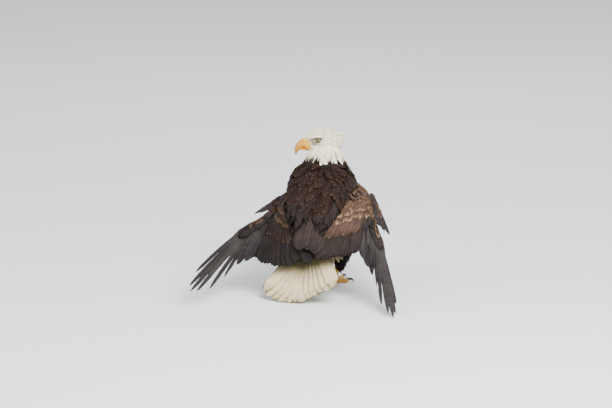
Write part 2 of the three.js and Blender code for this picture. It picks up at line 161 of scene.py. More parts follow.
# Quads of a grid of rings, each closed round. looped also joins the last ring to the first.
def gridFaces(along, around, looped=False):
    i, j = np.meshgrid(np.arange(along if looped else along - 1), np.arange(around), indexing="ij")
    following = (i + 1) % along * around
    k = (j + 1) % around
    return np.stack([i * around + j, i * around + k, following + k, following + j], -1).reshape(-1, 4)

# Triangles from one middle point to a ring of points that begins at start.
def fan(middle, start, around, turned=False):
    j = start + np.arange(around)
    k = start + (np.arange(around) + 1) % around
    return np.stack([np.full(around, middle), k, j] if turned else [np.full(around, middle), j, k], -1)

# Rings of points closed into a shell by one more point at each end.
def closeRings(rings, around, ends):
    n = len(rings)
    faces = [gridFaces(n // around, around), fan(n, 0, around, True), fan(n + 1, n - around, around)]
    return np.vstack([rings, ends]), faces

# A mesh object from points in the bird's place and one array of faces all alike, or a list of such arrays.
def addMesh(name, points, faces, material=None):
    faces = faces if isinstance(faces, list) else [faces]
    sizes = np.concatenate([np.full(len(f), f.shape[1]) for f in faces])
    corners = np.concatenate([f.reshape(-1) for f in faces]).astype(np.int32)
    mesh = bpy.data.meshes.new(name)
    mesh.vertices.add(len(points))
    mesh.vertices.foreach_set("co", np.asarray(toWorld(points), np.float32).reshape(-1))
    mesh.loops.add(len(corners))
    mesh.loops.foreach_set("vertex_index", corners)
    mesh.polygons.add(len(sizes))
    mesh.polygons.foreach_set("loop_start", np.concatenate([[0], np.cumsum(sizes)[:-1]]).astype(np.int32))
    mesh.update(calc_edges=True)
    mesh.validate()
    mesh.shade_smooth()
    obj = bpy.data.objects.new(name, mesh)
    bpy.context.scene.collection.objects.link(obj)
    if material:
        mesh.materials.append(material)
    return obj


# A closed tube as points and faces. Its end points reach out by grow.
def tubeShell(rows, side, around, along, grow=0.0, squareness=2.0):
    u, t = np.meshgrid(np.arange(around) / around, np.linspace(0, 1, along), indexing="xy")
    rings = tubePoint(rows, side, u, t, grow, squareness).reshape(-1, 3)
    ends = np.array([rings[:around].mean(0), rings[-around:].mean(0)])
    inner = spline(rows, np.array([0.05, 0.95]))[:, :3]
    return closeRings(rings, around, ends + unit(ends - inner) * grow)

def joinShells(shells):
    points, quads, triangles, start = [], [], [], 0
    for shell, faces in shells:
        for f in faces:
            (quads if f.shape[1] == 4 else triangles).append(f + start)
        points.append(shell)
        start += len(shell)
    return np.vstack(points), [np.vstack(f) for f in (quads, triangles) if f]


# The object remeshed at a voxel size into one closed surface, then eased, as that object's own mesh.
def remeshed(obj, voxel, rounds, factor=0.5):
    remesh = obj.modifiers.new("whole", "REMESH")
    remesh.mode = "VOXEL"
    remesh.voxel_size = voxel
    ease = obj.modifiers.new("ease", "SMOOTH")
    ease.iterations = rounds
    ease.factor = factor
    mesh = bpy.data.meshes.new_from_object(obj.evaluated_get(bpy.context.evaluated_depsgraph_get()))
    old = obj.data
    obj.modifiers.clear()
    obj.data = mesh
    mesh.name = obj.name
    bpy.data.meshes.remove(old)
    mesh.shade_smooth()

def readPoints(mesh, label):
    values = np.empty(len(mesh.vertices) * 3, np.float32)
    mesh.vertices.foreach_get(label, values)
    return values.reshape(-1, 3)

def addAttribute(mesh, name, values, kind="FLOAT"):
    layer = mesh.attributes.new(name, kind, "POINT")
    field = "vector" if kind == "FLOAT_VECTOR" else "value"
    layer.data.foreach_set(field, np.asarray(values, np.float32).reshape(-1))

# A UV map from one pair of numbers for each vertex.
def addUv(mesh, name, pairs):
    loops = np.empty(len(mesh.loops), np.int32)
    mesh.loops.foreach_get("vertex_index", loops)
    layer = mesh.uv_layers.new(name=name, do_init=False)
    layer.uv.foreach_set("vector", np.asarray(pairs, np.float32)[loops].reshape(-1))


print("eagle: frame and helpers ready")


# A node with its settings and inputs: a socket is linked, a colour of three numbers gains its fourth, and
# anything else is set as it is.
def node(tree, kind, inputs=None, **settings):
    made = tree.nodes.new(kind)
    for key, value in settings.items():
        setattr(made, key, value)
    for key, value in (inputs or {}).items():
        socket = made.inputs[key]
        if isinstance(value, bpy.types.NodeSocket):
            tree.links.new(value, socket)
        else:
            socket.default_value = (*value, 1.0) if socket.type == "RGBA" else value
    return made

def calc(tree, operation, a, b=0.0, c=0.0):
    return node(tree, "ShaderNodeMath", {0: a, 1: b, 2: c}, operation=operation).outputs[0]

def ramp(tree, value, low, high, toLow=0.0, toHigh=1.0):
    spec = {"Value": value, "From Min": low, "From Max": high, "To Min": toLow, "To Max": toHigh}
    return node(tree, "ShaderNodeMapRange", spec, interpolation_type="SMOOTHSTEP").outputs["Result"]

def blendColour(tree, share, a, b):
    return node(tree, "ShaderNodeMix", {0: share, 6: a, 7: b}, data_type="RGBA").outputs[2]

def noise(tree, vector, scale, detail):
    spec = {"Vector": vector, "Scale": scale, "Detail": detail, "Roughness": 0.55}
    return node(tree, "ShaderNodeTexNoise", spec).outputs["Fac"]

def combine(tree, x, y, z):
    return node(tree, "ShaderNodeCombineXYZ", {0: x, 1: y, 2: z}).outputs[0]

def attribute(tree, name):
    return node(tree, "ShaderNodeAttribute", attribute_name=name).outputs["Fac"]

# A node group whose inputs and outputs are named with their first values: a number, a colour, or None for a
# vector.
def newGroup(name, inputs, outputs):
    tree = bpy.data.node_groups.new(name, "ShaderNodeTree")
    for side, sockets in (("INPUT", inputs), ("OUTPUT", outputs)):
        for label, value in sockets.items():
            kind = "Vector" if value is None else "Color" if isinstance(value, tuple) else "Float"
            socket = tree.interface.new_socket(label, in_out=side, socket_type="NodeSocket" + kind)
            if value is not None:
                socket.default_value = (*value, 1.0) if kind == "Color" else value
    return tree, node(tree, "NodeGroupInput").outputs, node(tree, "NodeGroupOutput").inputs

def useGroup(tree, group, inputs):
    return node(tree, "ShaderNodeGroup", inputs, node_tree=group).outputs

def newMaterial(name):
    material = bpy.data.materials.new(name)
    material.use_nodes = True
    tree = material.node_tree
    shader = tree.nodes["Principled BSDF"]
    return material, tree, shader


def bump(tree, shader, height, strength, distance):
    made = node(tree, "ShaderNodeBump", {"Height": height, "Strength": strength, "Distance": distance})
    tree.links.new(made.outputs["Normal"], shader.inputs["Normal"])


# One feather's colours, as a group. tone and a broad noise set the vane between its deep and pale
# colours. Over that go a darker tip, streaks along the slanting barbs, the shaft, a paler worn fringe and
# painted shade over the root, where the feathers overlap. White plumage is made beside it from grime,
# streaks and stain, and the white mask picks between the two. Height is the barbs, the streaks and the
# shaft.
featherInputs = {
    "Across": 0.0, "Along": 0.0, "Barbs": None, "Place": None, "Tone": 0.5, "White": 0.0, "Stain": 0.0,
    # On the next line, the third colour is the painted shade over a feather's root; Root Shade is how
    # strong that shade is.
    "Deep": (0.01, 0.007, 0.006), "Pale": (0.03, 0.02, 0.016), "Soot": (0.012, 0.009, 0.008),
    "Root Shade": 0.55,
    "Fringe": (0.1, 0.07, 0.05), "Fringe Width": 0.25, "Fringe Share": 0.5, "Slimness": 1.3,
    "Tip": (0.01, 0.007, 0.006), "Tip Share": 0.0, "Tip From": 0.7, "Streak Share": 0.35,
    "Shaft": (0.01, 0.007, 0.006), "Shaft Share": 0.4, "Barb Pitch": 0.0012,
    "Clean": (0.99, 0.905, 0.68), "Warm": (0.78, 0.69, 0.51), "Grime": 0.3, "White Streaks": 0.22,
    "Stained": (0.36, 0.31, 0.16),
    "Smoothest": 0.5, "Roughest": 0.78,
}


def makeFeatherLook():
    tree, g, out = newGroup("featherLook", featherInputs,
        {"Colour": (0, 0, 0), "Roughness": 0.0, "Height": 0.0})

    def times(a, b):
        return calc(tree, "MULTIPLY", a, b)

    def plus(a, b):
        return calc(tree, "ADD", a, b)

    def less(a, b):
        return calc(tree, "SUBTRACT", a, b)

    away = calc(tree, "ABSOLUTE", g["Across"])
    parts = node(tree, "ShaderNodeSeparateXYZ", {0: g["Barbs"]}).outputs
    slant = calc(tree, "MULTIPLY_ADD", calc(tree, "ABSOLUTE", parts[0]), -0.85, parts[1])
    seed = times(g["Tone"], 37.0)
    streak = noise(tree, combine(tree, times(slant, 900.0), times(parts[0], 60.0), seed), 1.0, 2.0)
    patches = noise(tree, combine(tree, times(parts[0], 160.0), times(parts[1], 90.0), seed), 1.0, 2.0)
    toTip = times(less(1.0, g["Along"]), g["Slimness"])
    edge = plus(calc(tree, "MAXIMUM", away, less(1.02, toTip)), times(less(patches, 0.5), 0.22))
    fringe = ramp(tree, edge, less(1.0, g["Fringe Width"]), 1.02)
    tip = ramp(tree, g["Along"], g["Tip From"], 1.0)
    shaft = ramp(tree, away, 0.03, 0.1, 1.0, 0.0)
    wave = calc(tree, "SINE", times(calc(tree, "DIVIDE", slant, g["Barb Pitch"]), 2 * pi))
    broad = ramp(tree, noise(tree, g["Place"], 14.0, 3.0), 0.35, 0.65)
    body = blendColour(tree, plus(times(g["Tone"], 0.6), times(broad, 0.4)), g["Deep"], g["Pale"])
    streaked = ramp(tree, streak, 0.35, 0.75, 0.0, g["Streak Share"])
    # Painted shade over the root, where the feathers overlap.
    rootShadow = ramp(tree, g["Along"], 0.0, 0.45, g["Root Shade"], 0.0)
    layers = [
        (times(tip, g["Tip Share"]), g["Tip"]), (streaked, g["Deep"]),
        (times(shaft, g["Shaft Share"]), g["Shaft"]),
        (times(fringe, g["Fringe Share"]), g["Fringe"]), (rootShadow, g["Soot"]),
    ]
    for share, paint in layers:
        body = blendColour(tree, share, body, paint)
    grime = times(ramp(tree, noise(tree, g["Place"], 30.0, 4.0), 0.42, 0.75), g["Grime"])
    grime = plus(grime, ramp(tree, streak, 0.4, 0.8, 0.0, g["White Streaks"]))
    white = blendColour(tree, g["Stain"], blendColour(tree, grime, g["Clean"], g["Warm"]), g["Stained"])
    tree.links.new(blendColour(tree, g["White"], body, white), out["Colour"])
    tree.links.new(ramp(tree, streak, 0.2, 0.8, g["Smoothest"], g["Roughest"]), out["Roughness"])
    tree.links.new(plus(times(wave, 0.35), plus(streak, times(shaft, 1.2))), out["Height"])
    return tree

featherLook = makeFeatherLook()


# Feathers of one kind: the group with that kind's values. relief is how strongly the barbs show in the
# surface.
def featherMaterial(name, look):
    material, tree, shader = newMaterial(name)
    given = {"Tip": look["Deep"], "Shaft": look["Deep"], **look}
    relief = given.pop("relief", 0.35)
    given["Place"] = node(tree, "ShaderNodeTexCoord").outputs["Object"]
    given["Barbs"] = node(tree, "ShaderNodeUVMap", uv_map="vane").outputs[0]
    for label in ("Across", "Along", "Tone", "White", "Stain"):
        given[label] = attribute(tree, label.lower())
    made = useGroup(tree, featherLook, given)
    tree.links.new(made["Colour"], shader.inputs["Base Color"])
    tree.links.new(made["Roughness"], shader.inputs["Roughness"])
    shader.inputs["Specular IOR Level"].default_value = 0.12
    bump(tree, shader, made["Height"], relief, 0.0006)
    return material


plumes = {
    "head": {"Deep": (0.62, 0.56, 0.44), "Pale": (0.86, 0.83, 0.76), "Fringe": (0.9, 0.88, 0.82),
        "Fringe Width": 0.3, "Fringe Share": 0.2,
        "relief": 0.35, "Root Shade": 0.0, "Stained": (0.15, 0.125, 0.072)},
    "mantle": {"Slimness": 1.6, "Deep": (0.0070, 0.0034, 0.0025), "Pale": (0.027, 0.0128, 0.0086),
        "Fringe": (0.088, 0.045, 0.028), "Fringe Width": 0.2,
        "Fringe Share": 0.6, "Root Shade": 0.8},
    "scapular": {"Slimness": 2.0, "Deep": (0.0092, 0.0064, 0.0060), "Pale": (0.029, 0.0190, 0.0172),
        "Fringe": (0.070, 0.044, 0.034), "Fringe Width": 0.12,
        "Fringe Share": 0.5, "Root Shade": 0.8},
    "breast": {"Stained": (0.19, 0.165, 0.095), "Deep": (0.011, 0.0075, 0.0062),
        "Pale": (0.035, 0.022, 0.017), "Fringe": (0.08, 0.048, 0.034), "Fringe Width": 0.22,
        "Fringe Share": 0.5, "Root Shade": 0.7},
    "thigh": {"Deep": (0.006, 0.0045, 0.004), "Pale": (0.018, 0.0125, 0.0105),
        "Fringe": (0.03, 0.022, 0.018), "Fringe Width": 0.2,
        "Fringe Share": 0.4, "Root Shade": 0.5},
    "lesser": {"Deep": (0.040, 0.0205, 0.0122), "Pale": (0.118, 0.064, 0.038),
        "Fringe": (0.38, 0.235, 0.145), "Fringe Width": 0.22,
        "Fringe Share": 0.75, "Root Shade": 0.9, "Shaft": (0.02, 0.013, 0.01)},
    # The darker copies of lesser, greater and secondary are for the left wing: painted shade.
    "lesserDark": {"Deep": (0.011, 0.0056, 0.0037), "Pale": (0.036, 0.0185, 0.0118),
        "Fringe": (0.165, 0.088, 0.052), "Fringe Width": 0.2,
        "Fringe Share": 0.7, "Root Shade": 0.9, "Shaft": (0.014, 0.009, 0.007)},
    "greaterDark": {"Slimness": 3.5, "Deep": (0.0100, 0.0056, 0.0041), "Pale": (0.031, 0.0170, 0.0122),
        "Fringe": (0.15, 0.080, 0.048), "Fringe Width": 0.085,
        "Fringe Share": 0.5, "Root Shade": 0.7, "Smoothest": 0.45},
    "greater": {"Slimness": 3.5, "Deep": (0.034, 0.0180, 0.0125), "Pale": (0.100, 0.0550, 0.0385),
        "Fringe": (0.24, 0.145, 0.092), "Fringe Width": 0.085,
        "Fringe Share": 0.75, "Root Shade": 0.7, "Smoothest": 0.45},
    "secondaryDark": {"Slimness": 9.0, "Deep": (0.0062, 0.0044, 0.0040), "Pale": (0.024, 0.0160, 0.0140),
        "Fringe": (0.115, 0.076, 0.060), "Fringe Width": 0.12,
        "Fringe Share": 0.45, "Tip": (0.006, 0.0048, 0.0050), "Tip Share": 0.6,
        "Tip From": 0.78, "Root Shade": 0.2,
        "Shaft": (0.006, 0.0045, 0.004), "Shaft Share": 0.8, "Smoothest": 0.42},
    "secondary": {"Slimness": 9.0, "Deep": (0.0115, 0.0078, 0.0068), "Pale": (0.037, 0.0248, 0.0212),
        "Fringe": (0.17, 0.122, 0.102), "Fringe Width": 0.14,
        "Fringe Share": 0.55, "Tip": (0.014, 0.0115, 0.012), "Tip Share": 0.6, "Tip From": 0.78,
        "Root Shade": 0.2,
        "Shaft": (0.012, 0.009, 0.008), "Shaft Share": 0.8, "Smoothest": 0.4},
    "primary": {"Slimness": 10.0, "Deep": (0.0165, 0.0132, 0.0130), "Pale": (0.060, 0.0495, 0.049),
        "Fringe": (0.125, 0.102, 0.092), "Fringe Width": 0.16,
        "Fringe Share": 0.6, "Tip": (0.020, 0.0165, 0.018), "Tip Share": 0.45, "Tip From": 0.76,
        "Root Shade": 0.25,
        "Shaft": (0.012, 0.009, 0.009), "Shaft Share": 0.8, "Smoothest": 0.38},
    "under": {"Deep": (0.018, 0.0125, 0.0105), "Pale": (0.05, 0.036, 0.031),
        "Fringe": (0.10, 0.072, 0.058), "Fringe Width": 0.25,
        "Fringe Share": 0.4, "Root Shade": 0.5},
    # The tail's Stained olive also stands for painted shadow of the wings over the tail's root.
    "tail": {"Slimness": 7.0, "Deep": (0.62, 0.56, 0.44), "Pale": (0.86, 0.83, 0.76),
        "Fringe": (0.8, 0.76, 0.66), "Fringe Width": 0.1, "Fringe Share": 0.3,
        "Root Shade": 0.25, "Clean": (0.72, 0.60, 0.375), "Warm": (0.40, 0.31, 0.16),
        "White Streaks": 0.5, "Stained": (0.20, 0.16, 0.075), "relief": 0.6},
}
plumage = {name: featherMaterial(name + "Feathers", look) for name, look in plumes.items()}
print("eagle: feather materials")

# Along the spine from the root of the tail to inside the head: left, ahead, up, half width, depth above,
# below.
spineRows = bodyRows([
    [0, -132, 124, 34, 8, 14], [0, -112, 152, 58, 14, 34], [0, -85, 190, 66, 27, 42],
    [0, -45, 238, 78, 52, 70],
    [0, 0, 285, 93, 70, 86], [1, 38, 335, 104, 76, 88], [2, 46, 372, 82, 66, 68], [1, 42, 402, 67, 54, 52],
    [1, 40, 428, 57, 50, 46], [0, 40, 448, 48, 44, 40], [0, 40, 466, 34, 32, 30],
])


def capeRows(side):
    return bodyRows([
        [42, -186, 214, 12, 6, 4], [42, -164, 229, 28, 12, 6], [42, -132, 254, 44, 20, 8],
        [42, -94, 288, 56, 27, 8],
        [40, -56, 326, 62, 30, 8], [28, -24, 362, 58, 30, 8], [12, -8, 392, 34, 24, 8],
    ], side)


skullRows = headRows([
    [-85, -14, 12, 14, 16], [-72, -10, 30, 34, 36], [-50, -6, 39, 43, 44], [-22, -2, 40, 43, 47],
    [4, -1, 35, 39, 44],
    [20, -4, 25, 28, 34], [30, -8, 17, 19, 22],
])


def thighRows(side):
    return bodyRows([
        [48, 18, 240, 34, 40, 40], [60, 24, 190, 46, 52, 50], [64, 8, 138, 40, 44, 44],
        [66, -12, 98, 32, 32, 30],
        [67, -22, 68, 19, 18, 18], [68, -25, 50, 9, 9, 9],
    ], side)


def browRows(side):
    rows = [[30, 13, 14], [16, 18, 25], [0, 18, 30], [-14, 15, 31], [-26, 9, 33]]
    sizes = [[3, 2.5, 3], [4.5, 4, 4], [5.5, 4.5, 4], [5, 4.5, 4.5], [2.5, 3, 3]]
    spots = [onHead(reach, height, side * out) for reach, height, out in rows]
    return np.hstack([np.array(spots), np.array(sizes)])


firstPrimary = bird["tertials"] + bird["secondaries"]
feathers = firstPrimary + bird["primaries"]
wingPose = {
    "left": {"side": 1, "yaw": (6.5, 19), "pitch": (24, 17.5), "trail": -9, "meet": 0, "lift": 3,
        "alula": (0.757, 0.465, -0.457), "paleTertials": 0.1},
    "right": {"side": -1, "yaw": (11.5, 24.5), "pitch": (22.3, 24.6), "trail": 24, "meet": 8, "lift": 0,
        "alula": (0.47, 0.12, -0.87), "paleTertials": 0.4},
}
wingFront = [[16, 16, 374], [62, 70, 344], [96, 100, 318], [117, 116, 294], [129, 121, 276]]
wingRoot = [[18, -56, 318], [92, -72, 280], [108, -14, 284], [118, 50, 288], [127, 100, 280]]
wingTip = [[8, -250, 126], [50, -256, 116], [96, -258, 118], [138, -250, 124], [166, -240, 134]]
primaryShares = [[0.635], [0.645], [0.665], [0.71], [0.88], [0.965], [1], [0.995], [0.935], [0.79]]


# Where feather number j, counted outwards from the body, starts at the front, crosses the bones and ends.
def wingStations(wing, j):
    j = np.asarray(j, float)
    side = wing["side"]
    inner = np.clip(j / firstPrimary, 0, 1)
    h = np.maximum((j - firstPrimary) / (bird["primaries"] - 1), 0)[..., None]
    turnOut = np.array([side, -1, 1])
    front, root, tip = (spline(rows, inner) for rows in (wingFront, wingRoot, wingTip))
    tip = tip + np.stack([wing["meet"] * (1 - inner) ** 2, 0 * inner, 0 * inner + wing["trail"]], -1)
    front, root, tip = front * turnOut, root * turnOut, tip * turnOut
    beyond = np.minimum(j, 0)[..., None] * acrossBody * side
    front, root, tip = front + beyond * 8, root + beyond * 14, tip + beyond * 16
    bone = unit(np.array([side * 0.33, 0.863, -0.384])) * bird["handBone"]
    handRoot = np.array([side * 127, -106, 278]) + bone * (0.1 + 0.9 * h)
    handFront = np.array([side * 131, -121, 271]) + bone * (0.05 + 1.03 * h)
    yaw = np.radians(wing["yaw"][0] + (wing["yaw"][1] - wing["yaw"][0]) * h)
    pitch = np.radians(wing["pitch"][0] + (wing["pitch"][1] - wing["pitch"][0]) * h - wing["lift"] * h**6)
    out = np.concatenate([side * np.sin(yaw) * np.cos(pitch), np.cos(yaw) * np.cos(pitch),
        -np.sin(pitch)], -1)
    own = handRoot + out * bird["longestPrimary"] * spline(primaryShares, np.clip(h[..., 0], 0, 1))
    share = np.clip(j - firstPrimary + 1, 0, 1)[..., None]
    return front + (handFront - front) * share, root + (handRoot - root) * share, tip + (own - tip) * share


# The wing's upper face: front to bones for the first share of v, then bones to tip, both slightly arched.
def onWing(wing, j, v):
    j, v = np.broadcast_arrays(np.asarray(j, float), np.asarray(v, float))
    front, root, tip = wingStations(wing, j)
    share = bird["frontShare"]
    t = np.clip(v / share, 0, 1)[..., None]
    fore = front + (root - front) * t + upward * 7 * np.sin(pi * np.sqrt(t))
    s = ((v - share) / (1 - share))[..., None]
    aft = root + (tip - root) * s + upward * 16 * np.sin(pi * np.clip(s, 0, 1))
    return np.where((v < share)[..., None], fore, aft)


# The share v that lies a distance in millimetres from the leading edge.
def shareAt(wing, j, distance):
    front, root, tip = wingStations(wing, j)
    fore = np.linalg.norm(root - front, axis=-1)
    aft = np.linalg.norm(tip - root, axis=-1)
    share = bird["frontShare"]
    return np.where(distance < fore, share * distance / fore, share + (1 - share) * (distance - fore) / aft)


def wingFacing(wing, j, v):
    dv = onWing(wing, j, v + 0.02) - onWing(wing, j, v - 0.02)
    dj = onWing(wing, np.asarray(j) + 0.5, v) - onWing(wing, np.asarray(j) - 0.5, v)
    return unit(np.cross(dj, dv)) * wing["side"]


def wingThickness(j, v):
    arm = 23 + (13 - 23) * smooth(np.asarray(j, float), firstPrimary - 2, firstPrimary + 6)
    share = spline([[0.24], [1], [1], [1], [0.5], [0.24], [0.11], [0.08], [0.06]], v)[..., 0]
    return arm * share


# The wing's flesh: a closed flat sleeve from the leading edge to just behind the bones.
def wingFlesh(wing, inset=5.0):
    around, along = 28, 40
    turn = np.arange(around) / around
    v = 0.012 + 0.36 * (0.5 - 0.5 * np.cos(2 * pi * turn))
    j = np.linspace(-1.5, feathers - 0.5, along)[:, None]
    j, v = np.broadcast_arrays(j, v[None, :])
    surface = onWing(wing, np.maximum(j, 0), v)
    facing = wingFacing(wing, np.maximum(j, 0), v)
    thick = wingThickness(j, v)
    over = (turn < 0.5)[None, :, None]
    deep = np.where(over[..., 0], inset, np.maximum(thick - inset * 0.6, inset + 1.5))
    edge = np.sin(pi * np.clip(turn * 2 % 1, 0, 1))[None, :] ** 0.5
    deep = inset + (deep - inset) * np.where(over[..., 0], 1, edge)
    rings = (surface - facing * deep[..., None]).reshape(-1, 3)
    points, faces = closeRings(rings, around, [rings[:around].mean(0), rings[-around:].mean(0)])
    return points, faces if wing["side"] < 0 else [f[:, ::-1] for f in faces]

coat = {"trunk": 12.0, "cape": 11.0, "head": 5.0, "thigh": 10.0, "wing": 6.0, "voxel": 0.0042}
shells = [tubeShell(spineRows, acrossBody, 48, 60, -coat["trunk"] * 0.8),
    tubeShell(skullRows, -headLeft, 40, 40, -coat["head"])]
shells += [tubeShell(capeRows(side), acrossBody, 32, 36, -coat["cape"] * 0.6) for side in (1, -1)]
shells += [tubeShell(thighRows(side), acrossBody, 32, 30, -coat["thigh"] * 0.7) for side in (1, -1)]
shells += [tubeShell(browRows(side), upward, 16, 20, -0.5) for side in (1, -1)]
shells += [wingFlesh(wing, coat["wing"]) for wing in wingPose.values()]


# Signed volume of a shell, to tell whether its faces point outwards.
def outward(points, faces):
    total = 0.0
    for f in faces:
        a, b, c = points[f[:, 0]], points[f[:, 1]], points[f[:, 2]]
        total += np.einsum("ij,ij->i", a, np.cross(b, c)).sum()
        if f.shape[1] == 4:
            total += np.einsum("ij,ij->i", a, np.cross(c, points[f[:, 3]])).sum()
    return faces if total > 0 else [f[:, ::-1] for f in faces]


shells = [(points, outward(points, faces)) for points, faces in shells]
skin = addMesh("skin", *joinShells(shells))
remeshed(skin, coat["voxel"], 8, 0.6)
addAttribute(skin.data, "facing", readPoints(skin.data, "normal"), "FLOAT_VECTOR")
spots = readPoints(skin.data, "co") * 1000 - shift
lores = [onHead(15, -3, side * 27) for side in (1, -1)]

# The white under the tail's root.
def bodyWhite(points):
    return smooth(points[:, 1], 84, 92) * smooth(-points[:, 2], -200, -185)

# How near a point is to the middle of a lore, the thinly feathered grey skin between the eye and the bill.
def nearLore(points, spot):
    return smooth(-np.linalg.norm((points - spot) * (1, 1, 1.5), axis=1), -21, -8)

addAttribute(skin.data, "white", np.maximum(smooth(spots[:, 2], 424, 430), bodyWhite(spots)))
addAttribute(skin.data, "stain", np.max([nearLore(spots, spot) for spot in lores], 0) * 0.85)
print("eagle: skin of", len(skin.data.polygons), "faces")


# The nearest point of the skin and its outward direction, for many points at once, read through geometry
# nodes.
def makeProbe(target):
    tree = bpy.data.node_groups.new("nearestOnSkin", "GeometryNodeTree")
    for way in ("INPUT", "OUTPUT"):
        tree.interface.new_socket("Geometry", in_out=way, socket_type="NodeSocketGeometry")
    given, out = node(tree, "NodeGroupInput"), node(tree, "NodeGroupOutput")
    surface = node(tree, "GeometryNodeObjectInfo", {"Object": target},
        transform_space="ORIGINAL").outputs["Geometry"]
    near = node(tree, "GeometryNodeProximity", target_element="FACES")
    tree.links.new(surface, near.inputs[0])
    facing = node(tree, "GeometryNodeInputNamedAttribute", {"Name": "facing"},
        data_type="FLOAT_VECTOR").outputs[0]
    reader = node(tree, "GeometryNodeSampleNearestSurface", data_type="FLOAT_VECTOR")
    tree.links.new(surface, reader.inputs[0])
    tree.links.new(facing, reader.inputs["Value"])
    tree.links.new(near.outputs["Position"], reader.inputs["Sample Position"])
    last = given.outputs[0]
    for label, value in (("near", near.outputs["Position"]), ("away", reader.outputs["Value"])):
        store = node(tree, "GeometryNodeStoreNamedAttribute", {"Name": label}, data_type="FLOAT_VECTOR",
            domain="POINT")
        tree.links.new(last, store.inputs["Geometry"])
        tree.links.new(value, store.inputs["Value"])
        last = store.outputs["Geometry"]
    tree.links.new(last, out.inputs[0])
    return tree


probeTree = makeProbe(skin)


def probe(points):
    flat = np.asarray(toWorld(points.reshape(-1, 3)), np.float32)
    mesh = bpy.data.meshes.new("probe")
    mesh.vertices.add(len(flat))
    mesh.vertices.foreach_set("co", flat.reshape(-1))
    obj = bpy.data.objects.new("probe", mesh)
    bpy.context.scene.collection.objects.link(obj)
    obj.modifiers.new("probe", "NODES").node_group = probeTree
    graph = bpy.context.evaluated_depsgraph_get()
    found = obj.evaluated_get(graph).data
    results = []
    for label in ("near", "away"):
        values = np.empty(len(flat) * 3, np.float32)
        found.attributes[label].data.foreach_get("vector", values)
        results.append(values.reshape(points.shape).astype(float))
    bpy.data.objects.remove(obj)
    bpy.data.meshes.remove(mesh)
    return results[0] * 1000 - shift, unit(results[1])


# How wide a feather is along its shaft: it opens from the quill, holds, and closes to a round or a
# pointed tip.
def vaneShape(t, opens=0.3, closesFrom=0.6, point=2.2):
    base = np.clip(t / opens, 0, 1) ** 0.7 * 0.92 + 0.08
    x = np.clip((t - closesFrom) / (1 - closesFrom), 0, 1)
    return base * np.maximum(1 - x**point, 0) ** 0.62


# Rings along a feather, closer together towards its tip, where its outline turns.
def tipShares(rings):
    return 1 - (1 - np.linspace(0, 1, rings)) ** 1.5


# Joined feathers, each a thin closed vane round its own shaft. shaft and normal are feathers by rings by 3;
# out and back are the half widths on its two sides, feathers by rings. columns places points across.
def vanes(name, material, shaft, normal, out, back, patch, columns=5, camber=0.12, tilt=0.0, thick=0.5,
    tone=None, white=0, stain=0, sweep=1.0, fray=0.0):
    count, rings = shaft.shape[:2]
    out, back = np.broadcast_to(out, (count, rings)), np.broadcast_to(back, (count, rings))
    along = unit(np.gradient(shaft, axis=1))
    across = unit(np.cross(along, normal)) * sweep
    facing = unit(np.cross(across, along)) * sweep
    c = np.linspace(-1, 1, columns)
    if columns > 5:
        c = np.sign(c) * np.abs(c) ** 1.25
    c = np.concatenate([c, c[-2:0:-1]])
    under = np.arange(len(c)) >= columns
    span = np.where(c[None, None, :] > 0, out[..., None], back[..., None]) * c
    crown = (1 - c**2) * camber * np.minimum((out + back)[..., None] / 2, 14)
    distance = np.concatenate([np.zeros((count, 1)),
        np.cumsum(np.linalg.norm(np.diff(shaft, axis=1), axis=-1), 1)], 1)
    t = (distance / distance[:, -1:])[..., None]
    rib = np.exp(-((c / 0.05) ** 2)) * 0.9 * (1 - t) * min(1.0, columns / 9)
    body = under * thick * (1 - c**2) * (1.4 - t)
    height = crown + np.asarray(tilt).reshape(-1, 1, 1) * c + rib - body
    points = shaft[:, :, None] + across[:, :, None] * span[..., None] + facing[:, :, None] * height[...,
        None]
    if fray:
        wearAndShade = rng.random((count, 1, columns)) ** 1.5
        wearAndShade = np.concatenate([wearAndShade, wearAndShade[..., -2:0:-1]], -1) * fray * smooth(t, 0.8, 1.0)
        points = points - along[:, :, None] * wearAndShade[..., None]
    around = len(c)
    points[..., 2] = np.maximum(points[..., 2], 0.3)
    grid = gridFaces(rings, around)
    fan = np.stack([np.zeros(around - 2, int), np.arange(1, around - 1), np.arange(2, around)], -1)
    caps = np.vstack([fan[:, ::-1], fan + (rings - 1) * around])
    offset = (np.arange(count) * rings * around)[:, None, None]
    faces = [(grid[None] + offset).reshape(-1, 4), (caps[None] + offset).reshape(-1, 3)]
    flat = points.reshape(-1, 3)
    obj = addMesh(name, flat, outward(flat, faces), material)
    full = (count, rings, around)
    offset = rng.random(count) * 3
    barbs = distance * 0.001 + offset[:, None] * 0.1
    pattern = np.stack([span * 0.001, np.broadcast_to(barbs[..., None], full)], -1)
    addUv(obj.data, "vane", pattern.reshape(-1, 2))
    places = patch(*(np.broadcast_to(x, full) for x in (c, t, under)))
    addUv(obj.data, "OFBake", places.reshape(-1, 2))
    perFeather = {"tone": rng.random(count) if tone is None else tone, "white": white, "stain": stain}
    for label, value in perFeather.items():
        value = np.asarray(value, float)
        if value.ndim < 2:
            value = np.broadcast_to(value.reshape(-1, 1), (count, rings))
        addAttribute(obj.data, label, np.broadcast_to(value[..., None], full))
    addAttribute(obj.data, "across", np.broadcast_to(c, full))
    addAttribute(obj.data, "along", np.broadcast_to(t, full))
    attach(obj, "root")
    return obj


# Each small feather is a patch 0.003 across at its root's place on the unwrapped skin.
def rootPatch(u, t):
    def place(c, along, under):
        middle = np.stack([0.03 + 0.94 * u, 0.03 + 0.94 * t], -1)[:, None, None, :]
        return middle + np.stack([c, along * 2 - 1], -1) * 0.0015
    return place


# Each large feather is a strip of its own, with the upper and under sides next to each other.
def stripPatch(count):
    def place(c, along, under):
        i = np.arange(count)[:, None, None] * 2 + under
        return np.stack([(i + 0.5 + 0.42 * c) / (2 * count), 0.02 + 0.96 * along], -1)
    return place


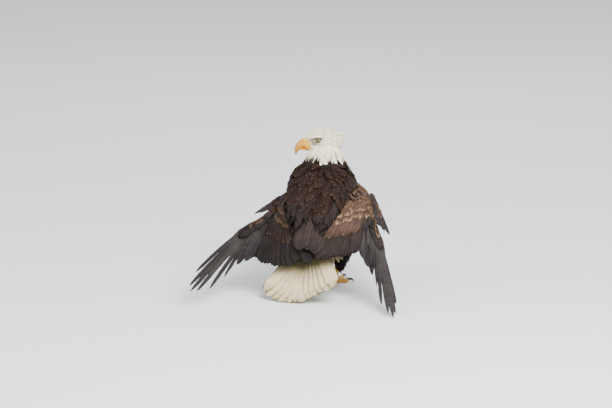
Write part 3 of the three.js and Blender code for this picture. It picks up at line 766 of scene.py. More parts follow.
# Roots in staggered rings round a tube: turn u, place t, and how far apart they are there.
def ringRoots(rows, spacing, low, high, grow):
    t = np.linspace(0, 1, 400)
    line = spline(rows, t)[:, :3]
    step = np.concatenate([[0], np.linalg.norm(np.diff(line, axis=0), axis=1)])
    apart = spacing(t)
    rank = np.cumsum(step / (apart * 0.8))
    rings = np.interp(np.arange(0.5, rank[-1]), rank, t)
    rings = rings[(rings > low) & (rings < high)]
    us, ts = [], []
    for index, place in enumerate(rings):
        row = spline(rows, place)
        wide, deep = max(row[3] + grow, 2), max((row[4] + row[5]) / 2 + grow, 2)
        girth = 2 * pi * math.sqrt((wide**2 + deep**2) / 2)
        n = max(int(girth / float(np.interp(place, t, apart))), 5)
        us.append((np.arange(n) + 0.5 * (index % 2) + rng.uniform(-0.22, 0.22, n)) / n)
        ts.append(place + rng.uniform(-0.3, 0.3, n) * 0.8 * float(np.interp(place, t, apart)) / step.sum())
    return np.concatenate(us) % 1, np.clip(np.concatenate(ts), 0.002, 0.998)


# A coat's value for each root: one number for all, or a function of the roots.
def atRoots(value, roots):
    return value(roots) if callable(value) else np.full(len(roots), float(value))

coatDefaults = {
    "rings": 6, "columns": 5, "stray": 0.09, "hug": 0.4, "ruffle": 0, "closes": 0.55, "point": 2.2,
    "camber": 0.16,
    "thick": 0.5, "reach": 5.0, "overlap": -2, "way": -1, "white": 0, "stain": 0,
}

# Feathers that cover a tube of the body, rooted on the skin in staggered rings.
def coverTube(name, material, rows, side, grow, spec, keep=None):
    spec = {**coatDefaults, **spec}
    u, t = ringRoots(rows, spec["spacing"], spec["from"], spec["to"], grow)
    roots = tubePoint(rows, side, u, t, grow)
    nudge = 0.01 * spec["way"]
    ahead = unit(tubePoint(rows, side, u, t + nudge, grow) - tubePoint(rows, side, u, t - nudge, grow))
    near, away = probe(roots)
    kept = (np.linalg.norm(near - roots, axis=1) < spec["reach"]) & (away[:, 2] > spec["overlap"])
    if keep is not None:
        kept &= keep(roots)
    u, t, near, away, ahead = u[kept], t[kept], near[kept], away[kept], ahead[kept]
    followSkin(name, material, u, t, near, away, ahead, spec)

# Each feather follows the skin ring by ring: a step ahead, a drop to the skin of at most the hug, and a
# facing half way between its last one and the skin's.
def followSkin(name, material, u, t, roots, away, ahead, spec):
    count, rings = len(roots), spec["rings"]
    length = atRoots(spec["length"], roots) * rng.uniform(0.88, 1.12, count)
    half = atRoots(spec["half"], roots) * rng.uniform(0.88, 1.12, count)
    turn = rng.normal(0, spec["stray"], count)[:, None]
    way = spec["comb"](roots, ahead) if "comb" in spec else ahead
    way = unit(way - away * np.sum(way * away, -1, keepdims=True))
    way = unit(way * np.cos(turn) + np.cross(away, way) * np.sin(turn))
    line, facing, spot = [roots], [away], roots
    share = tipShares(rings)
    for k in range(1, rings):
        step = (length * (share[k] - share[k - 1]))[:, None]
        ahead = spot + way * step
        near, out = probe(ahead)
        drop = np.sum((near - ahead) * away, -1, keepdims=True)
        target = ahead + away * np.clip(drop, -spec["hug"] * step, 0.6 * step)
        way = unit(target - spot)
        spot = spot + way * step
        blended = unit(away * 0.5 + out * 0.5)
        away = unit(blended - way * np.sum(blended * way, -1, keepdims=True))
        line.append(spot)
        facing.append(away)
    line, facing = np.stack(line, 1), np.stack(facing, 1)
    depth = atRoots(spec["depth"], roots)
    lift = depth[:, None] * (-0.12 + 1.1 * share**0.8) * rng.uniform(0.75, 1.15, count)[:, None]
    lift = lift + (atRoots(spec["ruffle"], roots) * rng.random(count) ** 2)[:, None] * share**2
    line = line + facing * lift[..., None]
    width = half[:, None] * vaneShape(share, 0.3, spec["closes"], spec["point"])
    white = atRoots(spec["white"], roots)
    stain = atRoots(spec["stain"], roots)
    tone = None
    if "tone" in spec:
        tone = np.clip(atRoots(spec["tone"], roots) + rng.uniform(-0.3, 0.3, count), 0, 1)
    tilt = rng.uniform(-1, 1, count) * half * 0.12
    vanes(name, material, line, facing, width, width, rootPatch(u, t), columns=spec["columns"],
        camber=spec["camber"], tilt=tilt, thick=spec["thick"], tone=tone, white=white, stain=stain)
    print("eagle:", name, count, "feathers")

# The white of the head ends in a ragged ring round the neck.
def headWhite(roots):
    edge = 424 + 6 * np.sin(roots[:, 0] * 0.07) + rng.uniform(-9, 9, len(roots))
    return smooth(roots[:, 2], edge - 1, edge + 1)


def downHead(roots, ahead):
    low = smooth(-roots[:, 2], -455, -415)[:, None]
    return unit(ahead * (1 - low) - upward * low * 1.1)


eyeMiddles = [onHead(bird["eyeReach"], bird["eyeHeight"], side * bird["eyeOut"]) for side in (1, -1)]


# A feather may start only where neither it nor its tip covers an eye.
def clearOfEyes(roots):
    clear = np.ones(len(roots), bool)
    for middle in eyeMiddles:
        for back in (0, 6, 11):
            clear &= np.linalg.norm(roots - headAhead * back - middle, axis=1) > 10.2
    return clear


# The lores are stained by their nearness, unevenly; the rest of the head only a little.
def loreStain(roots):
    stain = 0.1 * rng.random(len(roots)) ** 2
    for spot in lores:
        stain = np.maximum(stain, 0.85 * nearLore(roots, spot) * rng.uniform(0.5, 1, len(roots)))
    return stain

# The feathers lengthen from the forehead towards the nape and the throat.
def backOrLow(roots):
    back = smooth(-(roots - headMiddle) @ headAhead, -30, 55)
    low = smooth(-roots[:, 2], -462, -428) * smooth(-(roots - headMiddle) @ headAhead, -32, -5)
    return np.maximum(back, low)


headCoat = {
    "spacing": lambda t: 3.7 + 2.1 * smooth(1 - t, 0.2, 0.85), "from": 0.01, "to": 0.985, "reach": 9.0,
    "length": lambda p: 8 + 25 * backOrLow(p), "half": lambda p: 2.3 + 2.0 * backOrLow(p), "depth": 3.5,
    "columns": 3, "point": 1.3, "closes": 0.35, "camber": 0.07, "thick": 0.3, "stray": 0.12,
    "comb": downHead,
    "white": 1, "stain": loreStain,
}
neckCoat = {
    "spacing": lambda t: 8.5 - 2.0 * smooth(t, 0.7, 0.9), "from": 0.53, "to": 0.965, "reach": 10.0,
    "length": lambda p: np.where(p[:, 2] > 415, 38, 42),
    "half": lambda p: np.where(p[:, 2] > 424, 3.6, 6.0),
    "depth": lambda p: np.where(p[:, 2] > 424, 7.0, 9.5), "point": 1.35, "closes": 0.3, "stray": 0.16,
    "white": headWhite, "ruffle": lambda p: 5 + 16 * smooth(p[:, 0], 0, 40) * smooth(-p[:, 2], -416, -400),
    "tone": lambda p: 0.4 - 0.7 * smooth(p[:, 0], -12, 25),
}
bodyCoat = {
    "spacing": lambda t: 15.0 - 3.5 * smooth(t, 0.45, 0.62), "from": 0.01, "to": 0.60,
    "length": lambda p: 50 + 10 * smooth(p[:, 1], 40, 100), "half": 11.5, "depth": 11.0, "ruffle": 7.0,
    "tone": 0.45, "white": bodyWhite, "stain": lambda p: 0.5 * bodyWhite(p),
}

# The mantle darkens towards its hind end and is near black at the left of the throat.
def capeTone(p):
    sooty = smooth(p[:, 0], 0, 40) * smooth(p[:, 2], 352, 384)
    return 0.62 - 0.25 * smooth(p[:, 1], 30, 130) - 0.7 * sooty

capeCoat = {
    "spacing": lambda t: 19.5 - 7.0 * smooth(t, 0.3, 0.9), "from": 0.27, "to": 0.985, "reach": 6.0,
    "rings": 8,
    "length": lambda p: 45 + 38 * smooth(p[:, 1], 30, 115),
    "half": lambda p: 11.5 + 8.5 * smooth(p[:, 1], 20, 105),
    "depth": 9.0, "closes": 0.5, "point": 2.4, "hug": 0.25, "stray": 0.13, "overlap": 0.1, "camber": 0.22,
    "ruffle": lambda p: 3 + 7 * smooth(-p[:, 1], -70, 0), "tone": capeTone,
}
scapularCoat = {
    **capeCoat, "hug": 0.1, "stray": 0.05, "closes": 0.58, "point": 2.2, "rings": 9,
    "spacing": lambda t: 22.0 + 0 * t, "depth": 10.0, "ruffle": 2.0, "half": 18.0, "length": 84.0,
}
thighCoat = {
    "spacing": lambda t: 11.0 - 2.5 * smooth(t, 0.5, 0.9), "from": 0.12, "to": 0.80, "way": 1, "reach": 6.0,
    "length": lambda p: 40 - 14 * smooth(-p[:, 2], -130, -90), "half": 6.0, "depth": 8.0, "columns": 3,
    "point": 1.5, "closes": 0.35, "ruffle": 6.0, "stray": 0.15, "hug": 0.25,
}

# The hindmost feathers of the back, the scapulars, are slate; the two kinds mingle along a wavy line.
def slaty(roots):
    wavy = 16 * np.sin(roots[:, 0] * 0.37 + roots[:, 2] * 0.51)
    return roots[:, 1] + 0.25 * np.abs(roots[:, 0]) + wavy > 104

trunkIn, capeIn, thighIn = -coat["trunk"] * 0.8, -coat["cape"] * 0.6, -coat["thigh"] * 0.7
coverTube("coat_head", plumage["head"], skullRows, -headLeft, -coat["head"], headCoat, clearOfEyes)
coverTube("coat_neck", plumage["mantle"], spineRows, acrossBody, trunkIn, neckCoat)
coverTube("coat_body", plumage["breast"], spineRows, acrossBody, trunkIn, bodyCoat)
for name, side in sides.items():
    rows = capeRows(side)
    coverTube("coat_mantle_" + name, plumage["mantle"], rows, acrossBody, capeIn, capeCoat,
        lambda p: ~slaty(p))
    coverTube("coat_scapular_" + name, plumage["scapular"], rows, acrossBody, capeIn, scapularCoat, slaty)
for name, side in sides.items():
    coverTube("coat_thigh_" + name, plumage["thigh"], thighRows(side), acrossBody, thighIn, thighCoat)
print("eagle: coat on the body")


# Feathers that lie along the wing. j counts them, low and high are where each starts and ends as shares
# of the wing's front-to-back way, and sink is how far below the wing's upper face the shaft lies at both
# ends.
def wingVanes(name, material, wing, j, low, high, out, back, sink, rings, columns, patch, tilt=2.5,
    point=2.2, closes=0.72, opens=0.2,
    notch=None, bend=0.0, tone=None, under=False, ragged=0.0, spread=None, thick=0.6):
    j = np.asarray(j, float)
    count = len(j)
    t = tipShares(rings)[None, :] if rings < 30 else np.linspace(0, 1, rings)[None, :]
    v = low[:, None] + (high - low)[:, None] * t
    across = j[:, None] + (0 if spread is None else spread[:, None] * t)
    surface = onWing(wing, across, v)
    facing = wingFacing(wing, across, np.minimum(v, 0.98))
    depth = sink[0][:, None] + (sink[1] - sink[0])[:, None] * t ** 0.8
    if under:
        facing = -facing
        surface = surface + facing * wingThickness(across, v)[..., None]
    shaft = surface - facing * depth[..., None]
    sideways = unit(np.cross(np.gradient(shaft, axis=1), facing))
    shaft = shaft + sideways * (bend * rng.normal(0, 1, count)[:, None] * t**2)[..., None]
    shape = vaneShape(t, opens, closes, point)
    outer, inner = out[:, None] * shape, back[:, None] * shape
    if notch is not None:
        outer = outer * (1 - notch[0][:, None] * smooth(t, 0.36, 0.5))
        inner = inner * (1 - notch[1][:, None] * smooth(t, 0.48, 0.62))
    if ragged:
        teeth = (rng.random((2, count, rings)) < 0.16) * rng.uniform(0.5, 1, (2, count, rings)) * ragged
        outer, inner = outer * (1 - teeth[0]), inner * (1 - teeth[1])
    vanes(name, material, shaft, facing, outer, inner, patch, columns, 0.10, tilt, thick, tone=tone,
        sweep=-wing["side"] if under else wing["side"])


def each(count, value):
    return np.full(count, float(value))


wingSpec = {"primaryOut": 11.0, "primaryIn": 23.0, "secondaryOut": 16.0, "secondaryIn": 24.0, "rings": 40,
    "columns": 9, "reach": 1.012}


# How far a feather, by its number, belongs to the hand and to the tertials.
def lastingShares(number):
    hand = smooth(number, firstPrimary - 1.5, firstPrimary + 3)
    return hand, smooth(-number, -4.5, -0.5)


quills = {"left": np.concatenate([np.arange(-1, 8, 1.7), np.arange(8.8, 18, 1.2)]),
    "right": np.concatenate([np.arange(-2, 5, 1.6), np.arange(5.7, 18, 1.05)])}
for name, wing in wingPose.items():
    # The left wing is painted in shade: darker copies of its looks, a lower tone and less pale tertials.
    shadeDrop = 0.22 if name == "left" else 0.0
    shade = "Dark" if name == "left" else ""
    for part, number in (("inner", quills[name]), ("hand", np.arange(firstPrimary, feathers, dtype=float))):
        n = len(number)
        hand, tertial = lastingShares(number)
        fingered = smooth(number, firstPrimary + 2, firstPrimary + 4.2)
        out, back = (
            wingSpec["secondary" + way] + (wingSpec["primary" + way] - wingSpec["secondary" + way]) * hand
            + 8 * tertial for way in ("Out", "In"))
        high = wingSpec["reach"] - 0.02 * rng.random(n) - tertial * rng.uniform(0, 0.09, n)
        sink = (11 - 3 * hand, 1.5 - 1.5 * tertial)
        tone = 0.46 - shadeDrop + wing["paleTertials"] * tertial - 0.3 * smooth(number, 15, 19)
        tone = np.clip(tone + 0.6 * smooth(number, 20, 24) + rng.uniform(-0.24, 0.24, n), 0, 1)
        spread = -0.38 * np.exp(-(((number - 22.4) / 1.3) ** 2))
        wingVanes("flight_" + part + "_" + name,
            plumage["primary" if part == "hand" else "secondary" + shade], wing, number, each(n, 0.18),
            high, out, back,
            sink, wingSpec["rings"], wingSpec["columns"], stripPatch(n), tilt=2.4 + 0.8 * hand,
            notch=(0.55 * fingered, 0.66 * fingered), bend=2.2,
            ragged=0.12, closes=0.84, point=2.0, tone=tone, spread=spread)
    for part, low, high in (("greater", 0, firstPrimary - 0.5),
        ("greater_hand", firstPrimary - 0.5, feathers)):
        number = np.arange(math.ceil(low), math.ceil(high)) + rng.uniform(-0.12, 0.12,
            math.ceil(high) - math.ceil(low))
        n = len(number)
        hand, tertial = lastingShares(number)
        wingVanes(part + "_" + name, plumage[("secondary" if "hand" in part else "greater") + shade],
            wing, number, each(n, 0.15),
            0.74 - 0.24 * hand - 0.1 * tertial + 0.03 * rng.random(n), 14 - 4 * hand + 5 * tertial,
            19 - 5 * hand + 4 * tertial,
            (6 - 3 * hand, 0.2 - 3.2 * hand), 20, 7, stripPatch(n), tilt=2.0, bend=1.5, ragged=0.05,
            closes=0.72, point=2.4,
            tone=np.clip(rng.uniform(0.2, 0.9, n) - shadeDrop, 0, 1))
    for part, low, reach, lift in (("median", 1.0, 0.565, 0.0), ("median_upper", 1.4, 0.465, 1.3)):
        number = np.arange(low, feathers - 0.3, 0.8)
        n = len(number)
        number = number + rng.uniform(-0.15, 0.15, n)
        hand, tertial = lastingShares(number)
        wingVanes(part + "_" + name, plumage["lesser" + shade], wing, number, each(n, 0.13),
            reach - 0.18 * hand + 0.03 * rng.random(n), 13 - 4 * hand,
            15 - 5 * hand, (3 - 2 * hand - lift, -1.0 - 3.4 * hand - lift * (1 + rng.random(n))),
            14, 5, rootPatch(number / feathers, each(n, 0.9)),
            tilt=rng.uniform(0.6, 2.4, n), bend=2.0, closes=0.6, point=2.4,
            tone=np.clip(0.25 - 0.3 * hand + rng.uniform(-0.25, 0.4, n), 0, 1))
    number, start, ends = [], [], []
    for row in range(14):
        across = np.arange(0.7, feathers - 0.4, 0.78) + 0.39 * (row % 2)
        across = across + rng.uniform(-0.14, 0.14, len(across))
        distance = 1 + row * 11.5 + rng.uniform(-2, 2, len(across))
        front, root, tip = wingStations(wing, across)
        arm = np.linalg.norm(root - front, axis=-1)
        kept = distance < arm + 64 - 8 * smooth(across, firstPrimary - 2, firstPrimary + 2)
        number.append(across[kept])
        start.append(shareAt(wing, across, distance)[kept])
        ends.append(shareAt(wing, across, distance + 34)[kept])
    number, start, ends = (np.concatenate(x) for x in (number, start, ends))
    n = len(number)
    hand, tertial = lastingShares(number)
    square = rootPatch(np.clip(number / feathers, 0, 1), np.clip(start * 2, 0, 1))
    wingVanes("lesser_" + name, plumage["lesser" + shade], wing, number, start, ends, each(n, 9.5),
        each(n, 9.5), (4.0 - 3 * hand, -2.2 - 3 * hand - 2.4 * rng.random(n)), 8, 5,
        square, tilt=rng.uniform(-0.6, 1.6, n), bend=1.9, closes=0.5, point=2.2, opens=0.35,
        tone=np.clip(rng.normal(0.5, 0.3, n) - 0.5 * hand - shadeDrop, 0, 1))
    wingVanes("under_" + name, plumage["under"], wing, number, start, ends + 0.05, each(n, 10.5),
        each(n, 10.5), (each(n, 4.5), each(n, -0.5)), 6, 5,
        square, tilt=rng.uniform(-1, 1, n), bend=2.0, closes=0.5, point=2.2, opens=0.35, under=True)

    # The alula: four stiff feathers that stand off the wrist, with rows of coverts over their roots.
    side = wing["side"]
    start = np.array([side * 137, -120, 268])
    way = unit(np.array([side, 1, 1]) * np.array(wing["alula"]))
    facing = unit(np.array([0.1 * side, 0.62, 0.75]) if side > 0 else np.array([-0.3, 0.8, 0.5]))
    trail = unit(np.cross(facing, way)) * side
    facing = unit(np.cross(way, trail)) * side
    t = np.linspace(0, 1, 18)[None, :, None]
    index = np.arange(4)[:, None, None]
    lengths = np.array([152, 134, 112, 88])[:, None, None]
    fanned = unit(way + trail * 0.022 * index) * (t * lengths)
    shaft = start - way * 14 + trail * index * 7 + fanned + facing * (3 + index * 1.4 - 2 * t)
    shape = vaneShape(t[..., 0], 0.2, 0.55, 1.7)
    vanes("alula_" + name, plumage["primary"], shaft, np.broadcast_to(facing, shaft.shape), shape * 7,
        shape * 10, stripPatch(4), columns=7,
        thick=0.6, tone=each(4, 0.2), tilt=each(4, 1.0), sweep=side)
    rows, columns = np.meshgrid(np.arange(5), np.arange(5), indexing="ij")
    rows, columns = rows.ravel(), columns.ravel()
    n = len(rows)
    spot = rows * 13.0 + 6 * (columns % 2) - 16 + rng.uniform(-3, 3, n)
    aside = -3 + columns * 7.0 + rng.uniform(-2, 2, n)
    kept = aside < 27 - 0.22 * np.maximum(spot, 0)
    spot, aside = spot[kept], aside[kept]
    n = len(spot)
    t = np.linspace(0, 1, 7)[None, :, None]
    drift = unit(way + trail * rng.normal(0.08, 0.1, n)[:, None])[:, None]
    raised = facing * (0.6 + 2.8 * t + rng.uniform(-1, 1.5, n)[:, None, None])
    shaft = start + way * spot[:, None, None] + trail * aside[:, None, None] + drift * t * 38 + raised
    shape = vaneShape(t[..., 0], 0.3, 0.5, 2.2) * 9.0
    vanes("alula_coverts_" + name, plumage["lesser" + shade], shaft, np.broadcast_to(facing, shaft.shape),
        shape + 0 * spot[:, None], shape + 0 * spot[:, None],
        rootPatch(0.9 + 0 * spot, np.clip((spot + 30) / 130, 0, 1)), columns=5,
        tilt=rng.uniform(-1, 1, n), tone=np.clip(0.62 - spot / 190 + rng.uniform(-0.2, 0.2, n), 0, 1))
print("eagle: wings")

rectrices = 12
tailPitch, tailRoll = math.radians(bird["tailPitch"]), math.radians(bird["tailRoll"])
tailRoot = np.array([0, 100, 171.0])
tailAxis = np.array([0, math.cos(tailPitch), -math.sin(tailPitch)])
tailAcross = np.array(Matrix.Rotation(tailRoll, 3, Vector(tailAxis)) @ Vector((1, 0, 0)))
tailNormal = unit(np.cross(tailAcross, tailAxis))


# The tail's fan: turn runs from -1 to 1 across it and share from its root to its tip.
def onTail(turn, share):
    angle = math.radians(bird["tailHalfAngle"]) * turn
    along = bird["tailLength"] * (1 - 0.075 * turn**2) * share
    trough = 0.085 * turn**2 * along + 6 * np.sin(pi * np.clip(share, 0, 1))
    wide = along * np.sin(angle) + 9 * turn
    back = (along * np.cos(angle))[..., None]
    return tailRoot + tailAxis * back + tailAcross * wide[..., None] + tailNormal * trough[..., None]


def tailVanes(name, turns, low, high, half, sink, rings, columns, patch, ragged, tilt, stain, blunt=0.0,
    fray=0.0):
    t = np.linspace(0, 1, rings)[None, :]
    share = low[:, None] + (high - low)[:, None] * t
    turn = turns[:, None] + 0 * t
    shaft = onTail(turn, share)
    order = np.abs(turns)[:, None] * sink
    shaft = shaft - tailNormal * (order + 1.0)[..., None]
    shape = np.maximum(vaneShape(t, 0.12, 0.86, 2.2), blunt * smooth(t, 0.5, 0.9))
    wide = half[:, None] * shape
    missing = (rng.random((2, len(turns), rings)) < 0.2) * rng.uniform(0.4, 1, (2, len(turns), rings))
    teeth = 1 - missing * ragged * (0.15 + 0.85 * smooth(t, 0.82, 0.97))
    facing = np.broadcast_to(tailNormal, shaft.shape)
    # Each feather's own stain at its tip, plus olive staining with painted shadow of the wings over the
    # tail, strongest towards the root.
    wearAndShade = stain[:, None] * smooth(t, 0.86, 1.0) * 0.6 + 0.92 * (1 - smooth(share, 0.44, 0.76)) + 0.03
    return vanes(name, plumage["tail"], shaft, facing, wide * teeth[0], wide * teeth[1], patch, columns,
        0.02, tilt, 0.3,
        white=np.ones((len(turns), rings)), stain=wearAndShade, fray=fray)


turns = np.linspace(-1, 1, rectrices + 1)[:-1] + 1 / rectrices
tailVanes("tail_feathers", turns, each(rectrices, 0.02),
    1.012 - 0.03 * rng.random(rectrices) - 0.055 * np.exp(-(((turns + 0.42) / 0.34) ** 2)),
    each(rectrices, 23), 0.6, 60, 17, stripPatch(rectrices),
    0.15, 0.0, 0.2 + 0.6 * rng.random(rectrices), 0.62, 20.0)
covertTurns = np.linspace(-0.85, 0.85, 11)
tailVanes("tail_coverts", covertTurns, each(11, -0.1), 0.44 - 0.12 * np.abs(covertTurns), each(11, 20),
    -4.0, 16, 7, stripPatch(11), 0.05, np.sign(covertTurns) * -1.2, each(11, 0))
print("eagle: tail")

# A tuft of soft white feathers beside the root of the tail, each a line that sags a little.
tuft = {
    "count": 44, "at": (-50, 66, 156.0), "spread": (13, 12, 16), "way": (-0.42, 0.40, -0.80), "stray": 0.12,
    "length": 58, "sag": (-4, 5, -6), "facing": (-0.7, 0.7, 0.2), "half": 6.5,
}
count = tuft["count"]
roots = np.array(tuft["at"]) + rng.uniform(-1, 1, (count, 3)) * tuft["spread"]
way = unit(np.array(tuft["way"]) + rng.normal(0, tuft["stray"], (count, 3)))[:, None]
t = np.linspace(0, 1, 8)[None, :, None]
line = roots[:, None] + way * t * tuft["length"] + np.array(tuft["sag"]) * t**2
facing = np.broadcast_to(unit(np.array(tuft["facing"])), line.shape)
soft = vaneShape(t[..., 0], 0.3, 0.35, 1.5) * tuft["half"] + np.zeros((count, 1))
square = rootPatch(rng.uniform(0.4, 0.6, count), rng.uniform(0, 0.1, count))
vanes("coat_vent", plumage["tail"], line, facing, soft, soft, square, white=np.ones(count),
    stain=0.1 + 0.4 * rng.random(count))

# Bare skin and horn, as a group: noise of the given grain sets the colour between deep and pale, and is
# the height.
def makeMottle():
    given = {"Place": None, "Grain": 100.0, "Deep": (0, 0, 0), "Pale": (0, 0, 0)}
    tree, g, out = newGroup("mottle", given, {"Colour": (0, 0, 0), "Height": 0.0})
    spots = noise(tree, g["Place"], g["Grain"], 4.0)
    tree.links.new(blendColour(tree, ramp(tree, spots, 0.3, 0.7), g["Deep"], g["Pale"]), out["Colour"])
    tree.links.new(spots, out["Height"])
    return tree


mottle = makeMottle()


# Horn, cere, scales and claws: the mottle, and where asked another colour along a line, holes painted
# dark as their shade, or scales with grooves between them.
def bareMaterial(name, look):
    material, tree, shader = newMaterial(name)
    place = node(tree, "ShaderNodeTexCoord").outputs["Object"]
    given = {"Place": place, "Grain": look["grain"], "Deep": look["deep"], "Pale": look["pale"]}
    base = useGroup(tree, mottle, given)
    tone = base["Colour"]
    if "end" in look:
        along = node(tree, "ShaderNodeVectorMath", {0: place, 1: tuple(look["axis"])},
            operation="DOT_PRODUCT").outputs["Value"]
        tone = blendColour(tree, ramp(tree, along, look["low"], look["high"]), tone, look["end"])
    for spot, size in look.get("holes", []):
        away = node(tree, "ShaderNodeVectorMath", {0: place, 1: tuple(spot)},
            operation="SUBTRACT").outputs[0]
        squashed = node(tree, "ShaderNodeVectorMath", {0: away, 1: (1, 1, 1.7)},
            operation="MULTIPLY").outputs[0]
        far = node(tree, "ShaderNodeVectorMath", {0: squashed}, operation="LENGTH").outputs["Value"]
        # Each hole is painted near black, the shade inside the nostril.
        tone = blendColour(tree, ramp(tree, far, size * 0.6, size, 1.0, 0.0), tone, (0.02, 0.012, 0.006))
    height = base["Height"]
    if "scales" in look:
        cells = node(tree, "ShaderNodeTexVoronoi", {"Vector": place, "Scale": look["scales"]},
            feature="DISTANCE_TO_EDGE").outputs["Distance"]
        groove = ramp(tree, cells, 0.0, 0.16)
        tone = blendColour(tree, groove, look["groove"], tone)
        height = groove
    tree.links.new(tone, shader.inputs["Base Color"])
    shader.inputs["Roughness"].default_value = look["gloss"]
    shader.inputs["Subsurface Weight"].default_value = look.get("depth", 0.0)
    shader.inputs["Subsurface Scale"].default_value = 0.003
    bump(tree, shader, height, look.get("relief", 0.3), 0.0008)
    return material


def plain(v):
    return [float(x) for x in v]


headOrigin = float(toWorld(headMiddle) @ headAhead)
nostrils = [(plain(toWorld(onHead(36, -1, side * 13.0))), 0.0042) for side in (1, -1)]
bare = {
    "horn": {"deep": (0.52, 0.21, 0.010), "pale": (0.68, 0.315, 0.014), "end": (0.42, 0.17, 0.02),
        "axis": plain(headAhead), "low": headOrigin + 0.05,
        "high": headOrigin + 0.068, "grain": 60, "gloss": 0.32},
    "cere": {"deep": (0.56, 0.30, 0.008), "pale": (0.70, 0.41, 0.014), "grain": 90, "gloss": 0.42,
        "holes": nostrils, "depth": 0.05},
    "scales": {"deep": (0.62, 0.30, 0.03), "pale": (0.78, 0.44, 0.06), "groove": (0.30, 0.13, 0.015),
        "scales": 330, "grain": 120, "gloss": 0.5, "relief": 0.6},
    "claw": {"deep": (0.006, 0.005, 0.005), "pale": (0.02, 0.017, 0.016), "grain": 80, "gloss": 0.28},
    "lid": {"deep": (0.035, 0.026, 0.014), "pale": (0.10, 0.078, 0.04), "grain": 200, "gloss": 0.5},
    # The next look is the dark of the ridges along the top of each eye: painted shadow of the brow.
    "brow": {"deep": (0.035, 0.026, 0.016), "pale": (0.10, 0.078, 0.05), "grain": 200, "gloss": 0.6},
}
bareLook = {name: bareMaterial(name, look) for name, look in bare.items()}


# A closed tube as a piece with its own look.
def tubePiece(name, material, rows, side, around, along, grow=0.0, squareness=2.0):
    points, faces = tubeShell(rows, side, around, along, grow, squareness)
    obj = addMesh(name, points, outward(points, faces), material)
    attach(obj, "root")
    return obj

billRows = headRows([
    [22, -7, 16, 18, 14], [34, -7, 15, 17, 14], [46, -8, 12.5, 15, 13], [58, -14, 10, 13.5, 10],
    [66, -23, 7.5, 11, 7],
    [69.5, -34, 5, 7, 4], [69, -46, 1, 1.4, 1.2],
])
cereEdge = 0.292
bill = tubePiece("bill", bareLook["horn"], spline(billRows, np.linspace(cereEdge - 0.03, 1, 24)),
    -headLeft, 48, 60, 0.0, 2.25)
cere = tubePiece("cere_skin", bareLook["cere"], spline(billRows, np.linspace(0, cereEdge + 0.01, 16)),
    -headLeft, 48, 30, 0.9, 2.25)
jawRows = headRows([[6, -26, 11, 5, 5], [26, -27, 10, 5, 6], [44, -28, 8, 4, 5], [60, -28, 4, 2, 3]])
jaw = tubePiece("jaw", bareLook["horn"], jawRows, -headLeft, 40, 40)
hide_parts("bill_upper")
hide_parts("cere")
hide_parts("bill_lower")
# Ridges on each side of the head: reach, height, out to the side, and radius.
ridges = {
    "gape": ("cere", [[40, -20, 12.5, 1.5], [28, -22, 18.8, 1.9], [15, -23.5, 25.6, 2.0],
        [1, -22.5, 33.4, 1.9],
        [-8, -20.5, 37.2, 0.9]]),
    # The brow ridge is a dark line along the top of the eye: painted shadow of the brow over it.
    "brow": ("brow", [[30, 3, 15.5, 1.4], [20, 7.5, 22.5, 2.2], [8, 11.8, 30.5, 2.8], [-4, 13.0, 35.5, 2.5],
        [-15, 10, 37.5, 1.2]]),
}
for name, side in sides.items():
    for part, (paint, path) in ridges.items():
        rows = np.array([[*onHead(reach, height, side * out), r, r, r] for reach, height, out, r in path])
        tubePiece(part + "_" + name, bareLook[paint], rows, upward, 16, 40)

# An eye is a ball whose polar angle from the gaze sets pupil, iris and rim.
def eyeMaterial():
    material, tree, shader = newMaterial("eye")
    place = node(tree, "ShaderNodeTexCoord").outputs["Object"]
    polar = attribute(tree, "polar")
    rays = noise(tree, place, 900.0, 3.0)
    # The iris is its own yellow darkened towards brown: painted shade of the brow over the eye.
    iris = blendColour(tree, rays, (0.17, 0.095, 0.02), (0.42, 0.28, 0.07))
    iris = blendColour(tree, ramp(tree, polar, 0.56, 0.70), iris, (0.05, 0.03, 0.015))
    whole = blendColour(tree, ramp(tree, polar, 0.37, 0.405, 1.0, 0.0), iris, (0.003, 0.003, 0.003))
    tree.links.new(whole, shader.inputs["Base Color"])
    shader.inputs["Roughness"].default_value = 0.22
    shader.inputs["Coat Weight"].default_value = 0.5
    shader.inputs["Coat Roughness"].default_value = 0.03
    return material


eyeSpec = {"radius": 9.4, "ahead": 0.30, "lidRing": 7.0, "lid": 2.0}
eyeLook = eyeMaterial()
for name, side, middle in (("left", 1, eyeMiddles[0]), ("right", -1, eyeMiddles[1])):
    gaze = unit(headLeft * side + headAhead * eyeSpec["ahead"])
    crosswise = unit(np.cross(upward, gaze))
    rise = np.cross(gaze, crosswise)
    radius, lidRing = eyeSpec["radius"], eyeSpec["lidRing"]
    polar = np.linspace(0, pi, 40)[1:-1]
    turn = np.arange(48)[:, None] * 2 * pi / 48
    ring = np.cos(turn) * crosswise + np.sin(turn) * rise
    out = np.cos(polar)[:, None, None] * gaze + np.sin(polar)[:, None, None] * ring
    ends = [middle + gaze * radius, middle - gaze * radius]
    points, faces = closeRings((middle + out * radius).reshape(-1, 3), 48, ends)
    eye = addMesh("eyeball_" + name, points, outward(points, faces), eyeLook)
    addAttribute(eye.data, "polar", np.concatenate([np.repeat(polar, 48), [0, pi]]))
    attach(eye, "root")
    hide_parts("eye_" + name)
    small = np.linspace(0, 2 * pi, 13)[None, :-1, None]
    outline = np.cos(turn) * crosswise + np.sin(turn) * rise * 0.86
    centre = middle + gaze * math.sqrt(radius**2 - lidRing**2) + outline * lidRing
    round = np.cos(small) * unit(outline)[:, None] + np.sin(small) * gaze
    points = (centre[:, None] + round * eyeSpec["lid"]).reshape(-1, 3)
    lid = addMesh("lid_" + name, points, outward(points, [gridFaces(48, 12, looped=True)]), bareLook["lid"])
    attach(lid, "root")
print("eagle: head")

